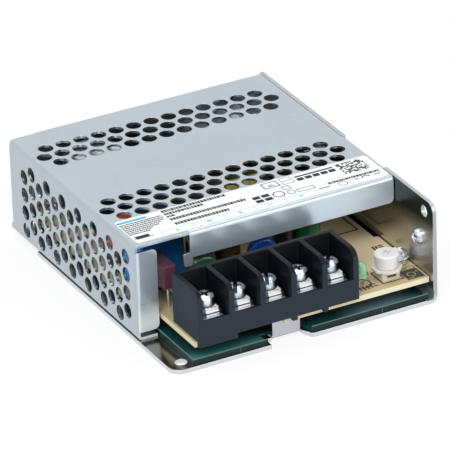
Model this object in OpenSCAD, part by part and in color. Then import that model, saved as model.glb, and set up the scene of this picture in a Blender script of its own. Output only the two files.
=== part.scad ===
// Enclosed panel-mount power supply.
// A bent chassis carries a circuit board on standoffs; a folded, perforated cover closes all but
// the front bay, where a barrier terminal block, an output adjuster and a lamp are in reach.
// Origin: centre of the footprint on the mounting plane. -Y is the terminal end, +Z is up.
// Sizes are in millimetres.

/* [Case] */
// Width of the case, along the terminal row
case_w = 82; // [74:1:110]
// Length of the case, from the terminals to the back
case_l = 99; // [90:1:140]
// Height of the case
case_h = 30; // [28:1:45]
// Length of the front bay that the cover leaves open
bay_l = 21; // [20:0.5:24]
// Thickness of the chassis sheet
chassis_t = 1.2; // [1:0.1:2]
// Outside radius of the chassis bends
chassis_bend_r = 2.2; // [2.1:0.1:3]
// Thickness of the cover sheet
cover_t = 0.8; // [0.6:0.1:1.2]
// Outside radius of the cover bends
cover_bend_r = 1.3; // [1.2:0.1:2]
// Gap between the cover and the chassis
seam = 0.2; // [0.1:0.05:0.4]

/* [Chassis] */
// Radius of the plate's front left corner
plate_corner_r = 3.5; // [1:0.5:6]
// Radius of the wall's front top corner
wall_corner_r = 3; // [1:0.5:6]
// Diameter of the mounting holes
mount_hole_d = 3.5; // [3.2:0.1:4.2]
// Distance of the plate's mounting hole from the left and front edges
plate_hole_inset = 4.3; // [3.5:0.1:4.4]
// Distance of the wall's mounting holes from its front and back ends
wall_hole_inset = 4.7; // [4:0.1:8]
// Distance of the wall's mounting holes below its top edge
wall_hole_drop = 3.6; // [3.4:0.1:8]
// Distance of the front notch from the plate's left edge
notch_inset = 30; // [20:0.1:45]
// Width of the front notch
notch_w = 12.3; // [11.5:0.1:16]
// Depth of the front notch
notch_l = 3.6; // [2:0.1:5]
// Width of the board tab bent up at the notch
tab_w = 8.6; // [4:0.1:9]
// Length of the plate's cut-back at its back left corner
back_notch_l = 16; // [5:0.5:20]
// Depth of the plate's cut-back at its back left corner
back_notch_w = 2; // [1:0.1:4]

/* [Cover] */
// Height of the front flange
front_flange_h = 7.9; // [4:0.1:7.9]
// Width of the open corner left of the front flange
front_flange_inset = 16.9; // [12:0.1:25]
// Width of the ear at the left end of the front flange
ear_w = 2; // [1:0.1:3]
// Height of that ear
ear_h = 4; // [3.5:0.1:5]
// Drop of the ear below the front flange
ear_drop = 2.4; // [0.5:0.1:2.8]
// Width of the flanges folded from the left wall
side_flange_w = 6.7; // [4:0.1:7]
// Relief above and below those flanges
flange_relief = 1.8; // [1:0.1:3]
// Corner radius of the flanges
flange_corner_r = 1.5; // [0.5:0.1:3]
// Width of the bottom lip that lies on the plate
lip_w = 6; // [5:0.1:6]
// Length of the locating tab in the chassis wall
wall_tab_l = 23; // [10:0.5:40]
// Height of the locating tab
wall_tab_h = 6; // [3:0.1:10]
// Distance of the locating tab from the cover's front edge
wall_tab_inset = 6.5; // [3:0.1:12]

/* [Ventilation] */
// Diameter of the holes
vent_d = 4.4; // [3:0.1:4.8]
// Distance between neighbouring holes
vent_pitch = 5.55; // [5.4:0.05:8]
// Rows of holes in each band on top
vent_rows = 3; // [1:1:3]
// Distance of the front band from the cover's front edge
front_band_inset = 18.3; // [17.5:0.1:22]
// Distance of the back band from the cover's back
back_band_inset = 11.5; // [6:0.1:14]
// Solid margin at the left end of the bands
vent_left = 3.6; // [3.6:0.1:8]
// Solid margin at the right end of the bands
vent_right = 6; // [4:0.1:10]
// Solid margin at the back of the wall's holes
wall_vent_back = 9.8; // [5:0.1:15]
// Solid margin at the front of the wall's holes
wall_vent_front = 5.2; // [4.5:0.1:10]
// Distance of the wall's top holes below the case top
wall_vent_drop = 5.4; // [4:0.1:7]
// Solid margin below the wall's holes
wall_vent_base = 4.6; // [4.4:0.1:6]

/* [Label] */
// Length of the label from the cover's front
label_l = 14.3; // [8:0.1:14.6]
// Thickness of the label
label_t = 0.12; // [0.08:0.01:0.3]
// Margin between the label and the sides of the cover's top
label_margin = 0.3; // [0.1:0.1:2]
// Corner radius of the label
label_r = 1.2; // [0.5:0.1:3]

/* [Circuit board] */
// Thickness of the board
board_t = 1.6; // [1:0.1:2]
// Height of the standoffs under the board
standoff_h = 4.7; // [3.5:0.1:5.3]
// Diameter of the standoffs
standoff_d = 5; // [4.4:0.1:5.2]
// Distance of the board from the case's left face
board_left = 7.5; // [7.2:0.1:9]
// Distance of the board from the case's front
board_front = 1.8; // [1.6:0.1:2.5]
// Distance of the board from the case's back
board_back = 2.5; // [1.5:0.1:4]
// Gap between the board's front part and the chassis wall
board_gap = 0.4; // [0.2:0.1:1]
// Depth of the step in the board's right edge
board_step = 1.2; // [0.5:0.1:1.4]
// Length of the board in front of that step
board_step_at = 28.5; // [26:0.5:32]
// Thickness of the insulating film
film_t = 0.4; // [0.2:0.1:0.6]
// Height of the film's turned-up edges
film_lip_h = 1.6; // [1:0.1:3]
// Diameter of the board, wall and cover screws
screw_d = 3; // [2.5:0.1:3]
// Diameter of their pan heads
pan_d = 5.6; // [5:0.1:6]
// Height of their pan heads
pan_h = 2; // [1.5:0.1:2.5]
// Diameter of the earth screw's head
earth_head_d = 4.6; // [4.2:0.1:5.6]
// Height of the bush under the front board screw
bush_h = 1.6; // [0.6:0.1:2]
// Clearance between a screw and its hole
screw_gap = 0.05; // [0.03:0.01:0.1]

/* [Terminal block] */
// Distance between neighbouring terminals
term_pitch = 9.6; // [9.5:0.05:10]
// Thickness of the partitions
term_wall = 1.6; // [1:0.1:1.8]
// Depth of the block, front to back
term_depth = 15.2; // [14.5:0.1:16]
// Height of the block over the board
term_h = 15; // [13:0.1:18]
// Height of the contact floor over the board
term_floor_h = 4.6; // [4:0.1:5]
// Height of the front lip over the board
term_lip_h = 6.2; // [5.8:0.1:6.4]
// Radius of the partitions' front shoulders
term_shoulder_r = 3.5; // [1:0.1:5]
// Thickness of the contact strips
contact_t = 0.8; // [0.5:0.1:1]
// Width of the contact strips and clamp plates
clamp_w = 6.8; // [6:0.1:7.4]
// Length of the clamp plates
clamp_l = 7.6; // [6.5:0.1:8]
// Thickness of the clamp plates
clamp_t = 1.2; // [0.8:0.1:1.4]
// Thickness of the square washers on the clamp plates
washer_t = 1; // [0.5:0.1:1.2]
// Diameter of the clamp screws
clamp_screw_d = 3; // [2.5:0.1:3.5]
// Diameter of their heads
clamp_head_d = 5.8; // [5:0.1:6]
// Height of their heads
clamp_head_h = 3.2; // [2:0.1:3.4]
// Lift of a clamp when its screw is loosened
clamp_lift = 2.4; // [1:0.1:2.4]

/* [Adjuster and lamp] */
// Side of the adjuster's square base
trim_base_w = 5.6; // [5:0.1:7]
// Height of the adjuster's base
trim_base_h = 2.3; // [2:0.1:5]
// Diameter of the ring on the adjuster's base
trim_ring_d = 8.2; // [7.2:0.1:8.4]
// Diameter of the adjuster's knob
knob_d = 7.2; // [6:0.1:7.6]
// Height of the adjuster's knob
knob_h = 4.2; // [2.5:0.1:5]
// Clearance between the knob and its spindle
knob_gap = 0.06; // [0.04:0.01:0.1]
// Diameter of the lamp
led_d = 3; // [2:0.1:3.4]
// Height of the lamp's body
led_h = 4.3; // [3.5:0.1:6]
// Length of the lamp's leads over the board
led_lead_h = 2.5; // [1:0.1:5]

/* [Inner parts] */
// Air above the tallest inner parts
headroom = 2; // [1.5:0.1:4]
// Width of the maroon film capacitor
film_cap_w = 3.9; // [3:0.1:5]
// Length of the maroon film capacitor
film_cap_l = 10.5; // [8:0.1:11]
// Height of the maroon film capacitor
film_cap_h = 6.8; // [5:0.1:8]
// Length of the leads it stands on
film_cap_lead = 6.4; // [1:0.1:7]
// Width of the blue mains capacitor
x_cap_w = 13.5; // [9:0.1:13.8]
// Length of the blue mains capacitor
x_cap_l = 12.5; // [9:0.1:13]
// Height of the blue mains capacitor
x_cap_h = 16.5; // [12:0.1:17]
// Diameter of the bulk capacitor
bulk_d = 18; // [12:0.5:18]
// Diameter of the tall output capacitor
out_cap_d = 10; // [6:0.5:10]
// Diameter of the low output capacitor
low_cap_d = 8; // [5:0.5:8]
// Height of the low output capacitor
low_cap_h = 12.5; // [8:0.5:16]
// Length of the transformer's core
core_l = 25; // [22:0.5:25]
// Width of the transformer's core
core_w = 20; // [18:0.5:20]
// Thickness of the transformer's core
core_t = 6.5; // [5:0.1:8]
// Length of the heat sink, as a share of the space under the cover
sink_share = 0.29; // [0.2:0.01:0.29]
// Length of the heat sink's fins
sink_fin_l = 5; // [2:0.1:6]

/* [Hidden] */
$fn = 48;

// Overshoot of a cutter past the face it opens
over = 1;
// Colours of the finishes
steel = "#c3ccd4";
aluminium = "#d6d8d8";
zinc = "#dfe3e6";
copper = "#8a6a34";
ferrite = "#3a3c3f";

// Case planes
half_w = case_w / 2;
half_l = case_l / 2;
cover_front = -half_l + bay_l;
cover_l = case_l - bay_l;
wall_in = half_w - chassis_t;
cover_right = wall_in - seam;
inner_top = case_h - cover_t;

// Chassis features
plate_hole = [-half_w + plate_hole_inset, -half_l + plate_hole_inset];
wall_hole_z = case_h - wall_hole_drop;
notch_x = -half_w + notch_inset;
notch_y = -half_l + notch_l;
tab_x = notch_x + 2.2;
wall_tab_y = cover_front + wall_tab_inset;
wall_screw_at = [wall_in, -half_l + 7.5, case_h - 12.5];

// Cover features
flange_x = -half_w + front_flange_inset;
side_flange_z = chassis_t + cover_bend_r + flange_relief / 2;
side_flange_h = case_h - cover_bend_r - flange_relief / 2 - side_flange_z;
lip_screw_x = -half_w + lip_w / 2 + 0.3;
flat_head_h = chassis_t - 0.2;
flat_head_d = screw_d + 2 * flat_head_h;
lip_screw_y = [cover_front + 18, half_l - 25];
vent_row_step = vent_pitch * sqrt(3) / 2;
vent_columns = floor((case_w - vent_left - vent_right) / vent_pitch) + 1;
wall_vent_columns = floor((cover_l - wall_vent_back - wall_vent_front) / vent_row_step) + 1;

// Board and what carries it
board_bottom = chassis_t + standoff_h;
board_top = board_bottom + board_t;
board_x0 = -half_w + board_left;
board_x1 = wall_in - board_gap;
board_y0 = -half_l + board_front;
board_y1 = half_l - board_back;
board_back_x1 = board_x1 - board_step;
film_x0 = -half_w + lip_w + 0.4;
film_x1 = half_w - chassis_bend_r - 0.3;
film_y0 = -half_l + 0.9;
film_y1 = half_l - cover_t - 0.6;
standoffs = [
    [wall_in - chassis_bend_r + chassis_t - standoff_d / 2 - 0.1, board_y0 + 11.7],
    [board_back_x1 - 3.4, board_y1 - 3.4],
    [board_x0 + 3.3, board_y1 - 3.3]
];
// Height of the washer under each board screw, with the bush under the front one
screw_lift = [0.8 + bush_h, 0.8, 0.8];

// Terminal block
term_count = 5;
term_x0 = -half_w + 8.1;
term_w = term_count * term_pitch + term_wall;
term_y0 = -half_l + 0.3;
term_y1 = term_y0 + term_depth;
term_back_t = 1.4;
term_lip_t = 1.4;
term_floor_z = board_top + term_floor_h;
contact_z = term_floor_z + contact_t;
clamp_z = contact_z + clamp_t + washer_t;
clamp_y = term_y0 + 7.2;
// Turn of each clamp screw's slot, as the screws were left
clamp_turn = [12, 62, 66, 4, 58];
pin_y = term_y1 - term_back_t - 1.6;
// Skirt in front of the board's edge at the left end, and the board's cut-out beside it
skirt_w = term_pitch * 1.25;
cutout_w = term_pitch * 1.55;
cutout_l = 2.4;

// Lamp and adjuster, in a row between the terminal block and the wall, with shares of the free width
led_flange_d = led_d + 0.8;
row_gap = wall_in - term_x0 - term_w - led_flange_d - trim_ring_d;
led_x = term_x0 + term_w + row_gap * 0.26 + led_flange_d / 2;
led_y = term_y0 + 7.4;
trim_x = led_x + led_flange_d / 2 + row_gap * 0.217 + trim_ring_d / 2;
trim_y = term_y0 + 8.2;
trim_ring_h = 0.6;
knob_z = board_top + trim_base_h + trim_ring_h + 0.1;
spindle_d = 3;
spindle_h = 1.6;

// Places of the inner parts: the left and front ones follow those edges of the board, and the
// large ones in the middle take shares of the space under the cover
tall_h = inner_top - board_top - headroom;
room_w = board_back_x1 - board_x0;
room_l = board_y1 - cover_front;
inner_x0 = board_x0 + 0.5;
film_cap_y = cover_front + 0.8;
x_cap_y = film_cap_y + film_cap_l + 1;
rear_cap_y = x_cap_y + x_cap_l + 1.6;
fuse_x = inner_x0 + 8;
disc_x = fuse_x + 6.5;
choke_x = disc_x + 8.5;
choke_y = cover_front + 14;
y_cap_x = choke_x + 12;
low_cap_x = y_cap_x + 15.5;
low_cap_y = cover_front + 10.8;
core_x = board_x0 + room_w * 0.553;
core_y = cover_front + room_l * 0.49;
core_z = board_top + 6.5;
bulk_x = board_x0 + 3 + bulk_d / 2;
bulk_y = board_y1 - 4.2 - bulk_d / 2;
sink_x = board_back_x1 - 15.5;
sink_l = room_l * sink_share;
sink_y = board_y1 - sink_l - 3;
tall_cap_x = board_back_x1 - 6.5;
tall_cap_y = cover_front + room_l * 0.424;
rectifier_y = board_y1 - 27;
transistor_y = sink_y + sink_l / 2;
device_lead_h = 3;
device_screw_z = board_top + device_lead_h + 12.8;

// Transformer: legs and yokes of the core, and the coil in its windows
core_leg = 5;
core_outer = 3;
core_yoke = 3.5;
core_window_l = core_l - 2 * core_yoke;
core_window_w = (core_w - core_leg - 2 * core_outer) / 2;
coil_w = core_leg + 2 * core_window_w - 0.6;
coil_t = core_t + 2 * core_window_w;
coil_flange_t = 1.2;
coil_hole_gap = 0.1;

function pocket_x(i) = term_x0 + term_wall / 2 + (i - 0.5) * term_pitch;

// Rectangle from the origin with the corner at the origin rounded
module corner_block(a, b, r) {
    translate([r, 0])
        square([a - r, b]);
    translate([0, r])
        square([a, b - r]);
    intersection() {
        translate([r, r])
            circle(r);
        square([a, b]);
    }
}

// Two sheet legs, a along X and b along Y, joined by a bend at the origin
module bent_profile(a, b, t, r) {
    difference() {
        corner_block(a, b, r);
        translate([t, t])
            corner_block(a, b, r - t);
    }
}

// Cutter that rounds the corner at the origin of a sheet that lies towards +X and +Y
module corner_cutter(r) {
    difference() {
        translate([-over, -over])
            square(r + over);
        translate([r, r])
            circle(r);
    }
}

// Rectangle from the origin with all corners rounded
module rounded_rect(w, l, r) {
    translate([r, 0])
        square([w - 2 * r, l]);
    translate([0, r])
        square([w, l - 2 * r]);
    for (x = [r, w - r], y = [r, l - r])
        translate([x, y])
            circle(r);
}

// Stands a drawing in the YZ plane and extrudes it along +X
module along_x(length) {
    rotate([90, 0, 90])
        linear_extrude(length)
            children();
}

// Two crossed slots of a driver recess, cut down from z = 0
module cross_recess(d, w, depth) {
    for (a = [0, 90])
        rotate(a)
            translate([-d / 2, -w / 2, -depth])
                cube([d, w, depth + over]);
}

// Pan-head screw: head upwards from z = 0, shank downwards; a clamp screw has a slot right across its head
module pan_screw(d, l, head_d, head_h, slotted = false) {
    difference() {
        union() {
            rotate_extrude()
                intersection() {
                    square([head_d / 2, head_h]);
                    translate([0, -head_d / 2])
                        circle(head_d / 2 + head_h);
                    translate([0, head_h - head_d * 0.8])
                        circle(head_d * 0.8);
                }
            translate([0, 0, -l])
                cylinder(d = d, h = l + head_h / 2);
        }
        translate([0, 0, head_h]) {
            cross_recess(head_d * 0.62, head_d * 0.16, head_h * 0.55);
            if (slotted)
                translate([-head_d, -head_d * 0.09, -head_h * 0.45])
                    cube([2 * head_d, head_d * 0.18, head_h]);
        }
    }
}

// Chassis

module chassis_section() {
    translate([half_w, half_l, 0])
        rotate([90, 0, 0])
            linear_extrude(case_l)
                mirror([1, 0])
                    bent_profile(case_w, case_h, chassis_t, chassis_bend_r);
}

module plate_cuts() {
    translate([0, 0, -over])
        linear_extrude(chassis_t + 2 * over) {
            translate([-half_w, -half_l])
                corner_cutter(plate_corner_r);
            translate(plate_hole)
                circle(d = mount_hole_d);
            // Front notch, slanted on its right side
            polygon([
                [notch_x, -half_l - over],
                [notch_x, notch_y],
                [notch_x + notch_w - 1.4, notch_y],
                [notch_x + notch_w, -half_l + 1.2],
                [notch_x + notch_w, -half_l - over]
            ]);
            translate([notch_x + notch_w, -half_l])
                corner_cutter(1.2);
            // Relief where the board tab bends up
            translate([tab_x - 0.4, notch_y - over])
                square([tab_w + 0.8, chassis_bend_r + over]);
            translate([-half_w - over, half_l - back_notch_l])
                square([back_notch_w + over, back_notch_l + over]);
        }
    for (y = lip_screw_y)
        translate([lip_screw_x, y, 0])
            lip_screw_hole();
}

// Countersunk hole for a cover screw
module lip_screw_hole() {
    translate([0, 0, -over])
        cylinder(d = screw_d + 0.3, h = chassis_t + 2 * over);
    cylinder(d1 = flat_head_d + 0.2, d2 = screw_d + 0.2, h = flat_head_h);
    translate([0, 0, -over])
        cylinder(d = flat_head_d + 0.2, h = over);
}

module wall_cuts() {
    translate([wall_in - over, 0, 0])
        along_x(chassis_t + 2 * over) {
            translate([-half_l, case_h])
                mirror([0, 1])
                    corner_cutter(wall_corner_r);
            for (y = [-half_l + wall_hole_inset, half_l - wall_hole_inset])
                translate([y, wall_hole_z])
                    circle(d = mount_hole_d);
            // Notch for the cover's locating tab
            translate([wall_tab_y - seam, case_h - wall_tab_h - seam])
                square([wall_tab_l + 2 * seam, wall_tab_h + seam + over]);
            for (p = [[wall_screw_at.y, wall_screw_at.z], [rectifier_y, device_screw_z]])
                translate(p)
                    circle(d = screw_d + 2 * screw_gap);
        }
}

module chassis() {
    color(aluminium) {
        difference() {
            chassis_section();
            plate_cuts();
            wall_cuts();
        }
        translate([tab_x, notch_y, 0])
            along_x(tab_w)
                bent_profile(chassis_bend_r + over, board_bottom, chassis_t, chassis_bend_r);
    }
}

// Cover

// Rectangle from the origin with its two left corners rounded
module c_block(w, h, r) {
    translate([r, 0])
        square([w - r, h]);
    translate([0, r])
        square([w, h - 2 * r]);
    for (y = [r, h - r])
        translate([r, y])
            circle(r);
}

// Top, left wall and bottom lip
module cover_section() {
    width = cover_right + half_w;
    height = case_h - chassis_t;
    translate([-half_w, half_l, chassis_t])
        rotate([90, 0, 0])
            linear_extrude(cover_l)
                difference() {
                    c_block(width, height, cover_bend_r);
                    translate([cover_t, cover_t])
                        c_block(width, height - 2 * cover_t, cover_bend_r - cover_t);
                    translate([lip_w, -over])
                        square([width, cover_t + 2 * over]);
                }
}

// Room for the bends that fold down or in from the section's ends, and the open corner where the back ones meet
module flange_reliefs() {
    corner_z = side_flange_z + side_flange_h;
    translate([-half_w - over, half_l - cover_bend_r, corner_z])
        cube([side_flange_w + flange_relief + over, cover_bend_r + over, case_h - corner_z + over]);
    for (end = [cover_front - over, half_l - cover_bend_r]) {
        first_x = end < 0 ? flange_x : -half_w + side_flange_w + flange_relief;
        translate([first_x, end, case_h - cover_bend_r - over])
            cube([case_w, cover_bend_r + over, cover_bend_r + 2 * over]);
        translate([-half_w - over, end, side_flange_z])
            cube([cover_bend_r + over, cover_bend_r + over, side_flange_h]);
    }
}

// Flange folded in from one end of the left wall, with rounded free corners
module side_flange() {
    difference() {
        linear_extrude(side_flange_h)
            bent_profile(side_flange_w, cover_bend_r + over, cover_t, cover_bend_r);
        for (up = [0, 1])
            translate([side_flange_w, cover_t + over, up * side_flange_h])
                mirror([0, 0, up])
                    mirror([1, 0, 0])
                        rotate([90, 0, 0])
                            linear_extrude(cover_t + 2 * over)
                                corner_cutter(flange_corner_r);
    }
}

// Front flange folded down from the top, with a small ear at its left end
module front_flange() {
    flange_w = cover_right - flange_x;
    ear_z = case_h - front_flange_h - ear_drop;
    difference() {
        translate([cover_right, cover_front, case_h])
            rotate([-90, 0, 90])
                linear_extrude(flange_w)
                    bent_profile(cover_bend_r + over, front_flange_h, cover_t, cover_bend_r);
        translate([cover_right, cover_front + cover_t + over, case_h - front_flange_h])
            mirror([1, 0, 0])
                rotate([90, 0, 0])
                    linear_extrude(cover_t + 2 * over)
                        corner_cutter(flange_corner_r);
    }
    translate([flange_x - ear_w, cover_front + cover_t, ear_z])
        rotate([90, 0, 0])
            linear_extrude(cover_t)
                rounded_rect(ear_w + 0.8, ear_h, 0.8);
}

// Back wall folded down from the top
module back_flange() {
    first_x = -half_w + side_flange_w + flange_relief;
    difference() {
        translate([first_x, half_l, case_h])
            rotate([-90, 0, -90])
                linear_extrude(cover_right - first_x)
                    bent_profile(cover_bend_r + over, case_h - chassis_t - seam, cover_t, cover_bend_r);
        // Round corner that clears the chassis bend
        translate([cover_right, half_l + over, chassis_t + seam])
            mirror([1, 0, 0])
                rotate([90, 0, 0])
                    linear_extrude(cover_t + 2 * over)
                        corner_cutter(chassis_bend_r);
    }
}

// Tab that drops into the notch of the chassis wall
module wall_tab() {
    translate([half_w - seam, wall_tab_y + wall_tab_l, case_h])
        rotate([-90, 0, 180])
            linear_extrude(wall_tab_l)
                bent_profile(chassis_t + cover_bend_r + over, wall_tab_h, cover_t, cover_bend_r);
}

// Staggered band of holes, first hole of the full row at the origin, further rows towards -Y
module vent_band() {
    for (row = [0 : vent_rows - 1]) {
        short = (row + 1) % 2;
        for (i = [0 : vent_columns - 1 - short])
            translate([(i + short / 2) * vent_pitch, -row * vent_row_step])
                circle(d = vent_d);
    }
}

// Staggered columns of holes on the left wall, drawn with Y to the left wall's Y and Z
module wall_vents() {
    first_z = case_h - wall_vent_drop;
    for (column = [0 : wall_vent_columns - 1]) {
        top_z = first_z - ((column + 1) % 2) * vent_pitch / 2;
        for (z = [top_z : -vent_pitch : chassis_t + wall_vent_base - 1.6])
            translate([half_l - wall_vent_back - column * vent_row_step, z])
                circle(d = vent_d);
    }
}

module cover() {
    band_l = (vent_rows - 1) * vent_row_step;
    color(steel)
        difference() {
            union() {
                difference() {
                    cover_section();
                    flange_reliefs();
                }
                front_flange();
                back_flange();
                wall_tab();
                translate([-half_w, cover_front, side_flange_z])
                    side_flange();
                translate([-half_w, half_l, side_flange_z])
                    mirror([0, 1, 0])
                        side_flange();
            }
            translate([-half_w + vent_left, 0, inner_top - over])
                linear_extrude(cover_t + 2 * over) {
                    translate([0, cover_front + front_band_inset + band_l])
                        vent_band();
                    translate([0, half_l - back_band_inset])
                        vent_band();
                }
            translate([-half_w - over, 0, 0])
                along_x(cover_t + 2 * over)
                    wall_vents();
            for (y = lip_screw_y)
                translate([lip_screw_x, y, chassis_t - over])
                    cylinder(d = screw_d + 2 * screw_gap, h = cover_t + 2 * over);
        }
}

// Countersunk screws from below, through the plate into the cover's lip
module cover_screws() {
    color(zinc)
        for (y = lip_screw_y)
            translate([lip_screw_x, y, 0.1])
                difference() {
                    union() {
                        cylinder(d1 = flat_head_d - 0.2, d2 = screw_d, h = flat_head_h);
                        cylinder(d = screw_d, h = chassis_t + cover_t + 2);
                    }
                    mirror([0, 0, 1])
                        cross_recess(3, 0.8, 0.9);
                }
}

module rating_label() {
    x0 = -half_w + cover_bend_r + label_margin;
    color("white")
        translate([x0, cover_front + cover_bend_r + 0.1, case_h])
            linear_extrude(label_t)
                rounded_rect(cover_right - label_margin - x0, label_l, label_r);
}

// Board and what lies under it

module board_outline() {
    translate([board_x0, board_y0])
        square([board_x1 - board_x0, board_step_at]);
    translate([board_x0, board_y0])
        square([board_back_x1 - board_x0, board_y1 - board_y0]);
}

module circuit_board() {
    color("#c8af82")
        translate([0, 0, board_bottom])
            linear_extrude(board_t)
                difference() {
                    board_outline();
                    // Cut-out in the front edge, from the terminal block's skirt to the board tab
                    translate([term_x0 + skirt_w, board_y0 - over])
                        square([cutout_w, cutout_l + over]);
                    for (p = standoffs)
                        translate(p)
                            circle(d = screw_d + 0.4);
                    for (i = [1 : term_count])
                        translate([pocket_x(i), pin_y])
                            circle(d = 1.9);
                }
}

module board_standoffs() {
    color(zinc)
        for (p = standoffs)
            translate([p.x, p.y, chassis_t])
                difference() {
                    cylinder(d = standoff_d, h = standoff_h);
                    translate([0, 0, 0.6])
                        cylinder(d = screw_d + 2 * screw_gap, h = standoff_h);
                }
}

// Pan-head screws on round washers
module board_screws() {
    color(zinc)
        for (i = [0 : len(standoffs) - 1])
            translate([standoffs[i].x, standoffs[i].y, board_top]) {
                translate([0, 0, screw_lift[i]])
                    pan_screw(screw_d, screw_lift[i] + board_t + standoff_h - 1, pan_d, pan_h);
                cylinder(d = pan_d + 0.6, h = screw_lift[i]);
            }
}

// Shallow tray, turned up along its left and front edges and cut round the tab and standoffs
module insulation_film() {
    split_x = [notch_x - 0.6, notch_x + notch_w + 0.6];
    color("#14423f")
        translate([0, 0, chassis_t])
            difference() {
                translate([film_x0, film_y0, 0])
                    difference() {
                        cube([film_x1 - film_x0, film_y1 - film_y0, film_lip_h]);
                        translate([film_t, film_t, film_t])
                            cube([case_w, case_l, film_lip_h]);
                    }
                translate([0, 0, -over])
                    linear_extrude(film_lip_h + 2 * over) {
                        polygon([
                            [split_x[0], -half_l - over],
                            [split_x[0], notch_y + chassis_bend_r + 0.6],
                            [split_x[1] - 1.5, notch_y + chassis_bend_r + 0.6],
                            [split_x[1] + 1, -half_l - over]
                        ]);
                        for (p = standoffs)
                            translate(p)
                                circle(d = standoff_d + 0.6);
                    }
            }
}

// Earth screw on the inside of the chassis wall
module wall_screw() {
    color(zinc)
        translate(wall_screw_at)
            rotate([0, -90, 0])
                pan_screw(screw_d, chassis_t - 0.1, earth_head_d, pan_h);
}

// Terminal block

module partition_profile() {
    translate([0, term_h])
        mirror([0, 1])
            corner_block(term_depth, term_h, term_shoulder_r);
}

module terminal_housing() {
    color("#303741")
        difference() {
            translate([term_x0, term_y0, board_top]) {
                along_x(term_w) {
                    square([term_depth, term_floor_h]);
                    square([term_lip_t, term_lip_h]);
                    translate([term_depth - term_back_t, 0])
                        square([term_back_t, term_h]);
                }
                for (i = [0 : term_count])
                    translate([i * term_pitch, 0, 0])
                        along_x(term_wall)
                            partition_profile();
                // Skirt and feet that hook over the board's front edge
                translate([0, 0, -board_t * 0.95])
                    cube([skirt_w, board_front - 0.5, board_t]);
                for (i = [3 : term_count - 1])
                    translate([i * term_pitch, 0, -board_t * 0.7])
                        cube([term_wall, board_front - 0.5, board_t]);
            }
            for (i = [1 : term_count]) {
                translate([pocket_x(i), clamp_y, board_top + 0.8])
                    cylinder(d = clamp_screw_d + 0.8, h = term_h);
                translate([pocket_x(i) - 0.8, pin_y - 0.6, board_top - over])
                    cube([1.6, 1.2, term_h]);
            }
        }
}

// Strips under the clamps, each with a pin through the board
module terminal_contacts() {
    strip_y = term_y0 + term_lip_t + 0.2;
    strip_l = term_depth - term_lip_t - term_back_t - 0.4;
    color(zinc)
        for (i = [1 : term_count]) {
            translate([pocket_x(i) - clamp_w / 2, strip_y, term_floor_z])
                difference() {
                    cube([clamp_w, strip_l, contact_t]);
                    translate([clamp_w / 2, clamp_y - strip_y, -over])
                        cylinder(d = clamp_screw_d + 0.2, h = contact_t + 2 * over);
                }
            translate([pocket_x(i) - 0.6, pin_y - 0.4, board_bottom - 1.2])
                cube([1.2, 0.8, term_floor_z - board_bottom + 1.4]);
        }
}

// Clamp plate and square washer of one terminal, held under the screw's head
module clamp_plate(i) {
    color(zinc)
        translate([pocket_x(i), clamp_y, contact_z])
            difference() {
                union() {
                    translate([-clamp_w / 2, -clamp_l / 2, 0])
                        cube([clamp_w, clamp_l, clamp_t]);
                    translate([-clamp_head_d / 2, -clamp_head_d / 2 - 0.4, clamp_t])
                        cube([clamp_head_d, clamp_head_d + 0.4, washer_t]);
                }
                translate([0, 0, -over])
                    cylinder(d = clamp_screw_d + 2 * screw_gap, h = clamp_t + washer_t + 2 * over);
            }
}

module terminal_screw(i) {
    color(zinc)
        translate([pocket_x(i), clamp_y, clamp_z])
            rotate(clamp_turn[i - 1])
                pan_screw(clamp_screw_d, clamp_z - term_floor_z + clamp_lift, clamp_head_d, clamp_head_h, true);
}

// Adjuster and lamp

module trimmer_base() {
    window_w = trim_base_w * 0.5;
    color("#e9e0cf")
        translate([trim_x, trim_y, board_top]) {
            difference() {
                translate([-trim_base_w / 2, -trim_base_w / 2, 0])
                    linear_extrude(trim_base_h)
                        rounded_rect(trim_base_w, trim_base_w, 0.6);
                translate([-window_w / 2, -trim_base_w / 2 - over, trim_base_h * 0.25])
                    cube([window_w, over + 1.2, trim_base_h * 0.5]);
            }
            // Eight-sided rim under the knob
            translate([0, 0, trim_base_h])
                linear_extrude(trim_ring_h)
                    intersection() {
                        square(trim_ring_d, center = true);
                        rotate(45)
                            square(trim_ring_d, center = true);
                    }
            translate([0, 0, trim_base_h])
                cylinder(d = spindle_d, h = trim_ring_h + spindle_h);
        }
}

module trimmer_knob() {
    edge = 0.4;
    color("#f4f3ef")
        translate([trim_x, trim_y, knob_z])
            difference() {
                rotate_extrude()
                    polygon([
                        [0, 0],
                        [knob_d * 0.43, 0],
                        [knob_d / 2, knob_h - edge],
                        [knob_d / 2 - edge, knob_h],
                        [0, knob_h]
                    ]);
                translate([0, 0, -over])
                    cylinder(d = spindle_d + 2 * knob_gap, h = over + spindle_h);
                translate([0, 0, knob_h])
                    cross_recess(knob_d * 0.4, 0.7, 0.6);
            }
}

module status_led() {
    color("#4fae78")
        translate([led_x, led_y, board_top + led_lead_h]) {
            cylinder(d = led_flange_d, h = 0.8);
            cylinder(d = led_d, h = led_h - led_d / 2);
            translate([0, 0, led_h - led_d / 2])
                sphere(d = led_d);
        }
}

module led_leads() {
    color(zinc)
        for (dx = [-1.27, 1.27] * led_d / 4)
            translate([led_x + dx - 0.25, led_y - 0.25, board_top])
                cube([0.5, 0.5, led_lead_h]);
}

// Inner parts

// Boxed film capacitor on two foot strips, from its left front corner
module box_capacitor(w, l, h) {
    translate([0, 0, 0.5])
        linear_extrude(h - 0.5)
            rounded_rect(w, l, 0.7);
    for (y = [0.8, l - 2])
        translate([0.8, y, 0])
            cube([w - 1.6, 1.2, 1]);
}

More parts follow.
